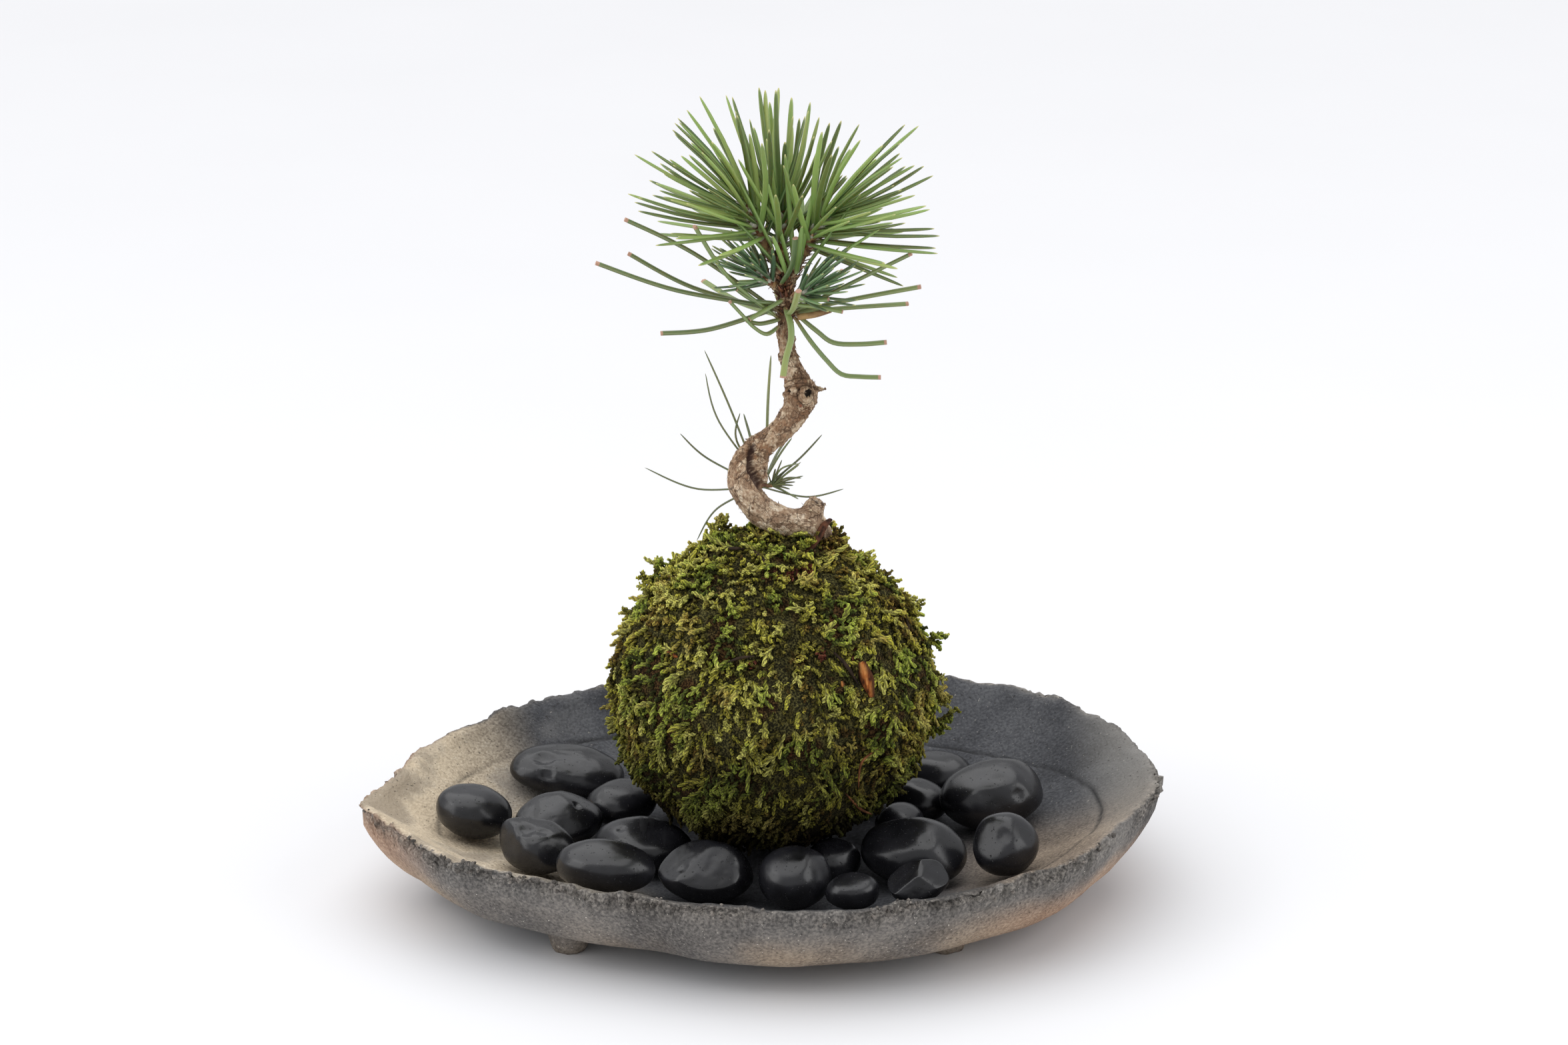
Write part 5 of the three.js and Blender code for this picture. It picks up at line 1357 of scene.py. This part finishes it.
# %% Bed of the moss
SPRIG_FROM, SPRIG_FULL = 1.07, 1.12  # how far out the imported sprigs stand, where the plain ball is 1
FACE_FACTS = {"center": 3, "normal": 3, "area": 1}  # and how many numbers each is
bed = finer_copy("moss_blanket", "moss_bed", 1)
bed.data.materials.append(moss_finish("moss_bed", bed=True))


def ball_reach(points):
    """How far out points lie: 1 on the plain ball."""
    return np.linalg.norm((points - BALL) / [MOSS_RADIUS, MOSS_RADIUS, MOSS_HALF_HEIGHT], axis=1)


def outer_faces(piece):
    """Middles, normals and areas of the faces on the outside of the blanket."""
    values = {what: np.zeros(len(piece.data.polygons) * size) for what, size in FACE_FACTS.items()}
    for what, row in values.items():
        piece.data.polygons.foreach_get(what, row)
    middles, normals = values["center"].reshape(-1, 3) / MM, values["normal"].reshape(-1, 3)
    outside = ball_reach(middles) > 0.96
    return middles[outside], normals[outside], values["area"][outside]


SETTLED_HEIGHTS = [30, 41, 47, 56, 62, 70, 78, 85, 92, 98, 105, 110, 116]
SETTLED_SHARES = [1, 0.975, 0.97, 0.94, 0.95, 0.965, 0.965, 0.95, 0.945, 0.935, 0.93, 0.93, 0.97]


def settled(points):
    """Points drawn in towards the ball's upright axis, so that its shoots end where the real moss does."""
    drawn_in = np.interp(points[:, 2], SETTLED_HEIGHTS, SETTLED_SHARES) - 1
    return points + (points - BALL) * [1, 1, 0] * drawn_in[:, None]


middles, normals, areas = outer_faces(bed)
give_values(bed, tone=ease(SPRIG_FROM, SPRIG_FULL, ball_reach(places_of(bed))))
move_to(bed, settled(places_of(bed)))
ready(bed, "moss", "moss_blanket")

# %% Rings of points that stand out and in by turns, like leaves that overlap on a shoot
def add_spindle(shape, middle, girth, rings, sides, pick):
    """Puts a leafy spindle on a shape, which is its points, faces and a value from 0 in its depth to 1 at its
    tips. middle gives a place for each share of the way along it."""
    points, faces, values = shape
    first = len(points)
    for step in range(rings):
        share = 0.92 * step / (rings - 1)
        heading = (middle(share + 0.04) - middle(share)).normalized()
        across = heading.cross(Vector((0, 1, 0.01))).normalized()
        over = heading.cross(across)
        full = girth * math.sin(math.pi * mix(0.2, 0.9, share)) ** 0.6
        for side in range(sides):
            leafy = (side + step) % 2
            angle = 2 * math.pi * side / sides + pick.uniform(-0.25, 0.25)
            reach = full * (1.2 if leafy else 0.6) * pick.uniform(0.85, 1.15)
            place = middle(share) + (across * math.cos(angle) + over * math.sin(angle)) * reach
            points.append(place + heading * (0.55 * full if leafy else 0))
            values.append(mix(0.55, 1, share) if leafy else 0.12)
    points.append(middle(1))
    values.append(1)
    for step in range(rings - 1):
        for side in range(sides):
            low, after = first + sides * step, (side + 1) % sides
            faces.append((low + side, low + after, low + sides + after, low + sides + side))
    last = first + sides * (rings - 1)
    faces += [(last + side, last + (side + 1) % sides, last + sides) for side in range(sides)]
    faces.append(tuple(first + side for side in reversed(range(sides))))


# %% Shapes of the shoots, in millimetres at their usual size
LONG_SHOOT, SHORT_SHOOT = (1.0, 1.0, 6.0), (1.0, 1.0, 3.0)
LONG_GIRTH, SHORT_GIRTH, SIDE_GIRTH = 0.72, 0.66, 0.5


def long_shoot(kind):
    """A bent leafy shoot, and on every other kind two side shoots."""
    pick = random.Random(kind)
    bend, wave = pick.uniform(-1.8, 1.8), pick.uniform(-0.6, 0.6)

    def middle(share):
        return Vector((bend * share**2, wave * math.sin(3 * share), LONG_SHOOT[2] * share))

    shape = ([], [], [])
    add_spindle(shape, middle, LONG_GIRTH, 7, 6, pick)
    for side in (-1, 1) if kind % 2 else ():
        start = middle(pick.uniform(0.2, 0.5))
        reach = Vector((pick.uniform(-0.4, 0.4), side * 1.7, pick.uniform(1.4, 2.2)))
        add_spindle(shape, lambda share: start + reach * share, SIDE_GIRTH, 4, 4, pick)
    return shape


def short_shoot(kind):
    """A short leafy shoot."""
    pick = random.Random(kind + 100)
    bend = pick.uniform(-0.8, 0.8)

    def middle(share):
        return Vector((bend * share**2, 0, SHORT_SHOOT[2] * share))

    shape = ([], [], [])
    add_spindle(shape, middle, SHORT_GIRTH, 5, 4, pick)
    return shape


LONG_KINDS, SHORT_KINDS = 8, 6
frond_shapes = [(long_shoot(kind), LONG_SHOOT) for kind in range(LONG_KINDS)]
frond_shapes += [(short_shoot(kind), SHORT_SHOOT) for kind in range(SHORT_KINDS)]
fronds = shape_set(
    "frond", [(np.array(points) / usual, faces, up) for (points, faces, up), usual in frond_shapes]
)
face_counts = [len(shape[1]) for shape, _ in frond_shapes]
print("faces of a shoot:", min(face_counts), "to", max(face_counts))

# %% Places for the shoots on the outside of the bed
LONG_COUNT, SHORT_COUNT = 2150, 7200
FROND_COUNT = LONG_COUNT + SHORT_COUNT
draw = np.random.default_rng(7)
weights = areas * (1 + 3 * ease(1.06, 1.1, ball_reach(middles))) * mix(0.25, 1, ease(26, 44, middles[:, 2]))
picked = draw.choice(len(middles), FROND_COUNT, p=weights / weights.sum())
long_ones = np.arange(FROND_COUNT) < LONG_COUNT


def from_ranges(long_range, short_range):
    """A number for each shoot, from the range of its kind."""
    long_values = draw.uniform(*long_range, FROND_COUNT)
    return np.where(long_ones, long_values, draw.uniform(*short_range, FROND_COUNT))


sprig = ease(1.06, 1.1, ball_reach(middles[picked]))
spots = settled(middles[picked]) + draw.normal(0, 0.35, (FROND_COUNT, 3))
outwards = unit(unit(spots - BALL) + 0.6 * normals[picked])
topness = ease(78, 108, spots[:, 2])
clump = ease(-0.45, 0.45, waves(spots, 4.5, (9, 3, 1)))
down = unit(np.array([0, 0, -1.0]) - outwards * -outwards[:, 2:3])
sideways = np.cross(outwards, down)
swirl = waves(spots, 13) * 2.2 + draw.normal(0, 0.45, FROND_COUNT)
swirl += topness * draw.uniform(-2.2, 2.2, FROND_COUNT)
lying = down * np.cos(swirl)[:, None] + sideways * np.sin(swirl)[:, None]
rise = from_ranges((0.02, 0.3), (0.05, 0.6))
rise += topness * draw.uniform(0, 0.5, FROND_COUNT) + 0.15 * clump + sprig
aim = unit(lying + outwards * rise[:, None])
smaller = mix(0.8, 1, ease(25, 60, spots[:, 2]))
lengths = from_ranges((3.6, 7.2), (1.8, 3.4)) * smaller
widths = from_ranges((0.8, 1.25), (0.8, 1.3)) * smaller
lengths *= mix(0.75, 1.15, clump) * (1 - 0.35 * sprig)
size = np.column_stack((widths, widths, lengths))
tone = np.where(long_ones, 0.45, 0) + draw.random(FROND_COUNT) * 0.45 + 0.15 * clump + 0.4 * sprig
tone = np.clip(tone, 0, 1)
long_kinds = draw.integers(0, LONG_KINDS, FROND_COUNT)
short_kinds = draw.integers(LONG_KINDS, LONG_KINDS + SHORT_KINDS, FROND_COUNT)
kind = np.where(long_ones, long_kinds, short_kinds)
spots += outwards * np.where(long_ones, 0.2, 0)[:, None]

# %% A collar of moss round the trunk's foot, in place of the last few shoots
TRUNK_FOOT, FOOT_RADIUS, COLLAR_SHOOTS = np.array([17.4, -3.6]), 4.9, 170
turns = draw.uniform(0, 2 * math.pi, COLLAR_SHOOTS)
ring = np.column_stack((np.cos(turns), np.sin(turns)))
collar = slice(FROND_COUNT - COLLAR_SHOOTS, FROND_COUNT)
spots[collar, :2] = TRUNK_FOOT + ring * (FOOT_RADIUS + draw.uniform(-0.6, 1.4, (COLLAR_SHOOTS, 1)))
spots[collar, 2] = draw.uniform(112.5, 117, COLLAR_SHOOTS)
collar_aim = np.column_stack((ring * 0.5, draw.uniform(0.2, 1.3, COLLAR_SHOOTS)))
aim[collar] = unit(collar_aim + draw.normal(0, 0.3, (COLLAR_SHOOTS, 3)))
outwards[collar] = np.column_stack((ring, np.zeros(COLLAR_SHOOTS)))
print("moss shoots:", FROND_COUNT, "on", round(areas.sum() / MM**2), "square millimetres")

# %% The shoots, in four bands from the top down
living_moss = moss_finish("living_moss")
for number, rows in enumerate(np.array_split(np.argsort(-spots[:, 2]), 4), 1):
    laid = [values[rows] for values in (spots, aim, outwards, size, tone, kind)]
    ready(scatter(f"moss_shoots_{number}", fronds, living_moss, *laid), "moss")

# %% Twigs, bark chips and rootlets caught in the moss: each a line over the ball with its half width
TWIGS = [
    ([[-2.2, -15.4, 115], [0.6, -20.1, 113.9], [4.1, -24.2, 112.4]], 0.75),
    ([[-9.5, -45.8, 90.8], [-5.6, -46, 92.1], [-1.7, -46.4, 92.7]], 0.6),
    ([[22.7, -42.6, 92.5], [26.7, -43.1, 88.3], [29.8, -43.6, 83.2]], 0.8),
    ([[37.7, -39.8, 60.5], [39.5, -35.9, 54.2], [41.1, -28.1, 45.8]], 0.6),
    ([[42.5, -12.3, 97.8], [45.3, -12.9, 93.7], [46.4, -18.3, 89.4]], 0.7),
    ([[-12, -12, 114.4], [-8, -15, 115.2], [-4.4, -15.5, 115.3]], 0.7),
]
ROOTLETS = [
    ([[35.7, -41.9, 62.5], [30.9, -44.9, 59.4], [29.8, -42.8, 51.1]], 0.4),
    ([[25.9, -44.5, 49.7], [30, -37.3, 42.3], [33.5, -33, 38.8]], 0.45),
    ([[4.2, -51.5, 78.4], [1.2, -52, 75.2], [-0.6, -52.2, 73.8]], 0.4),
]
BARK_CHIPS = [
    ([[30.8, -42.6, 89.5], [32, -42.8, 84.5], [33.2, -42.4, 79]], 0.9),
    ([[-28, -35.2, 89.9], [-26.3, -36.6, 89.5], [-24.6, -37.8, 89.3]], 0.4),
    ([[24.6, -44.4, 84.4], [24.9, -44.6, 83.2], [25, -44.8, 82]], 0.35),
]
CRUMB_SPOTS = [
    ((5.1, -25.8, 111.8), 3, 26), ((10.1, -26.7, 110.8), 3.2, 30), ((15, -23.1, 111.6), 2.6, 22),
    ((19.5, -10, 115.2), 2.6, 30), ((22, -6, 115.2), 2.6, 24), ((-1.7, -47.8, 90.1), 1.6, 7),
    ((18.6, -44.4, 92.4), 2, 14), ((29.6, -39.5, 91.1), 1.8, 10), ((8.9, -53.4, 66.1), 0.9, 3),
    ((22.9, -46.4, 50.5), 1.4, 6), ((46.5, -6, 84), 3, 22), ((47, -2, 72), 3, 14),
]


def litter_finish(name, *stops, margin=False):
    """Dead wood or bark, with painted shade low on the ball. margin darkens its edges."""
    litter = Finish(name)
    strands = litter.grain(0.8, 4, stretch=(1, 1, 0.35))
    colour = litter.ramp(strands, *stops)
    if margin:
        edge = litter.attribute("edge") + 0.5 * (litter.grain(1.5, 3) - 0.5)
        colour = litter.layers(colour, ((1 - litter.between(0.6, 1.05, edge)) * 0.9, "#2a140b"))
    # Painted shade: darker low on the ball.
    low_shade = 1 - litter.between(0.03, 0.08, litter.heights)
    colour = litter.layers(colour, (low_shade * 0.5, "#140d08"))
    return litter.surface(colour, 0.8, strands, depth=0.4, Specular_IOR_Level=0.2)


def over_moss(runs, lift):
    """The same lines, moved out from the ball's middle and drawn in at their ends."""
    lifted = []
    for points, radius in runs:
        rows = settled(np.array(points, float))
        rows += unit(rows - BALL) * lift
        lifted.append((np.column_stack((rows, radius * np.array([0.5, 1, 0.4]))).tolist(), 0.5))
    return lifted


twig_look = litter_finish("dark_twigs", (0.35, "#120c08"), (0.65, "#37291e"))
rust_look = litter_finish("rootlets", (0.35, "#4a2a18"), (0.65, "#94603a"))
chip_look = litter_finish("bark_chips", (0.38, "#4a2510"), (0.5, "#a85f2d"), (0.62, "#cd8a4c"), margin=True)
litter_stations = np.linspace(0, 1, 14)
for name, runs, look, lift, flatness in [
    ("moss_twigs", TWIGS, twig_look, 0.9, 0.8), ("moss_rootlets", ROOTLETS, rust_look, 1.4, 1.0),
    ("bark_chips_in_moss", BARK_CHIPS, chip_look, 1.6, 2.6),
]:
    ready(make_stems(name, over_moss(runs, lift), look, litter_stations, sides=8, flatness=flatness), "bark")

# %% Crumbs of bark in small heaps
crumb_places = []
for middle, reach, count in CRUMB_SPOTS:
    crumb_places += (np.array(middle) + draw.normal(0, reach / 2, (count, 3))).tolist()
crumb_places = np.array(crumb_places)
crumb_out = unit(crumb_places - BALL)
crumb_places = settled(BALL + (crumb_places - BALL) / ball_reach(crumb_places)[:, None]) + crumb_out * 1.2
count = len(crumb_places)
crumb_look = litter_finish("red_brown_crumbs", (0.35, "#2a130c"), (0.55, "#5f2f20"), (0.7, "#8f5f45"))
crumb_aim = unit(crumb_out + draw.normal(0, 0.9, (count, 3)))
crumb_size = draw.uniform(1, 2, (count, 3)) * [2.5, 1.2, 1]
crumbs_in_moss = scatter(
    "crumbs_in_moss", chip_set, crumb_look, crumb_places, crumb_aim, crumb_out, crumb_size,
    draw.random(count), draw.integers(0, CHIP_KINDS, count),
)
ready(crumbs_in_moss, "bark")

# %% A strip of dead bark between the trunk's foot and the moss
BARK_STRIP = [[21.3, -6, 122.2, 0.8], [19.4, -8, 121, 1.4], [17.3, -9.7, 117.6, 1.6], [14.8, -12.4, 114.6, 1]]
strip_look = litter_finish("dead_bark", (0.35, "#26150d"), (0.65, "#6a4330"))
strip = make_stems("dead_bark", [(BARK_STRIP, 0.5)], strip_look, np.linspace(0, 1, 16), sides=8, flatness=0.5)
ready(strip, "bark")

# %% [markdown]
# ## What the moss hides
# The soil stays as it was packed, and the thread is drawn in with the bed. Both get their own finish in
# case a gap shows them.

# %% Soil and thread
THREAD_DRAWN_IN = 0.035
soil_look = plain_finish("moist_soil", [(0.35, "#1a110a"), (0.65, "#46301d")], 0.9, (2, 4), 0.6)
thread_stops = [(0.35, "#191a12"), (0.65, "#3b3b2b")]
thread_look = plain_finish("dark_thread", thread_stops, 0.8, (0.5, 2, 1, 1, 0.4), 0.15)
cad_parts["soil_ball"].data.materials.clear()
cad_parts["soil_ball"].data.materials.append(soil_look)
thread = finer_copy("binding_thread", "cotton_thread", 0)
move_to(thread, settled(places_of(thread)) * (1 - THREAD_DRAWN_IN) + BALL * THREAD_DRAWN_IN)
thread.data.materials.append(thread_look)
ready(thread, "thread", "binding_thread")

# %% [markdown]
# ## The floor
# The floor is only a stage.

# %% Floor
corners = [(x * 6000, y * 6000, 0) for x, y in ((-1, -1), (1, -1), (1, 1), (-1, 1))]
floor = new_piece("floor", corners, [(0, 1, 2, 3)])
paper = Finish("paper")
floor.data.materials.append(paper.surface(paper.layers("#dcdcde", (paper.grain(80), "#dfdfe1")), 0.9))
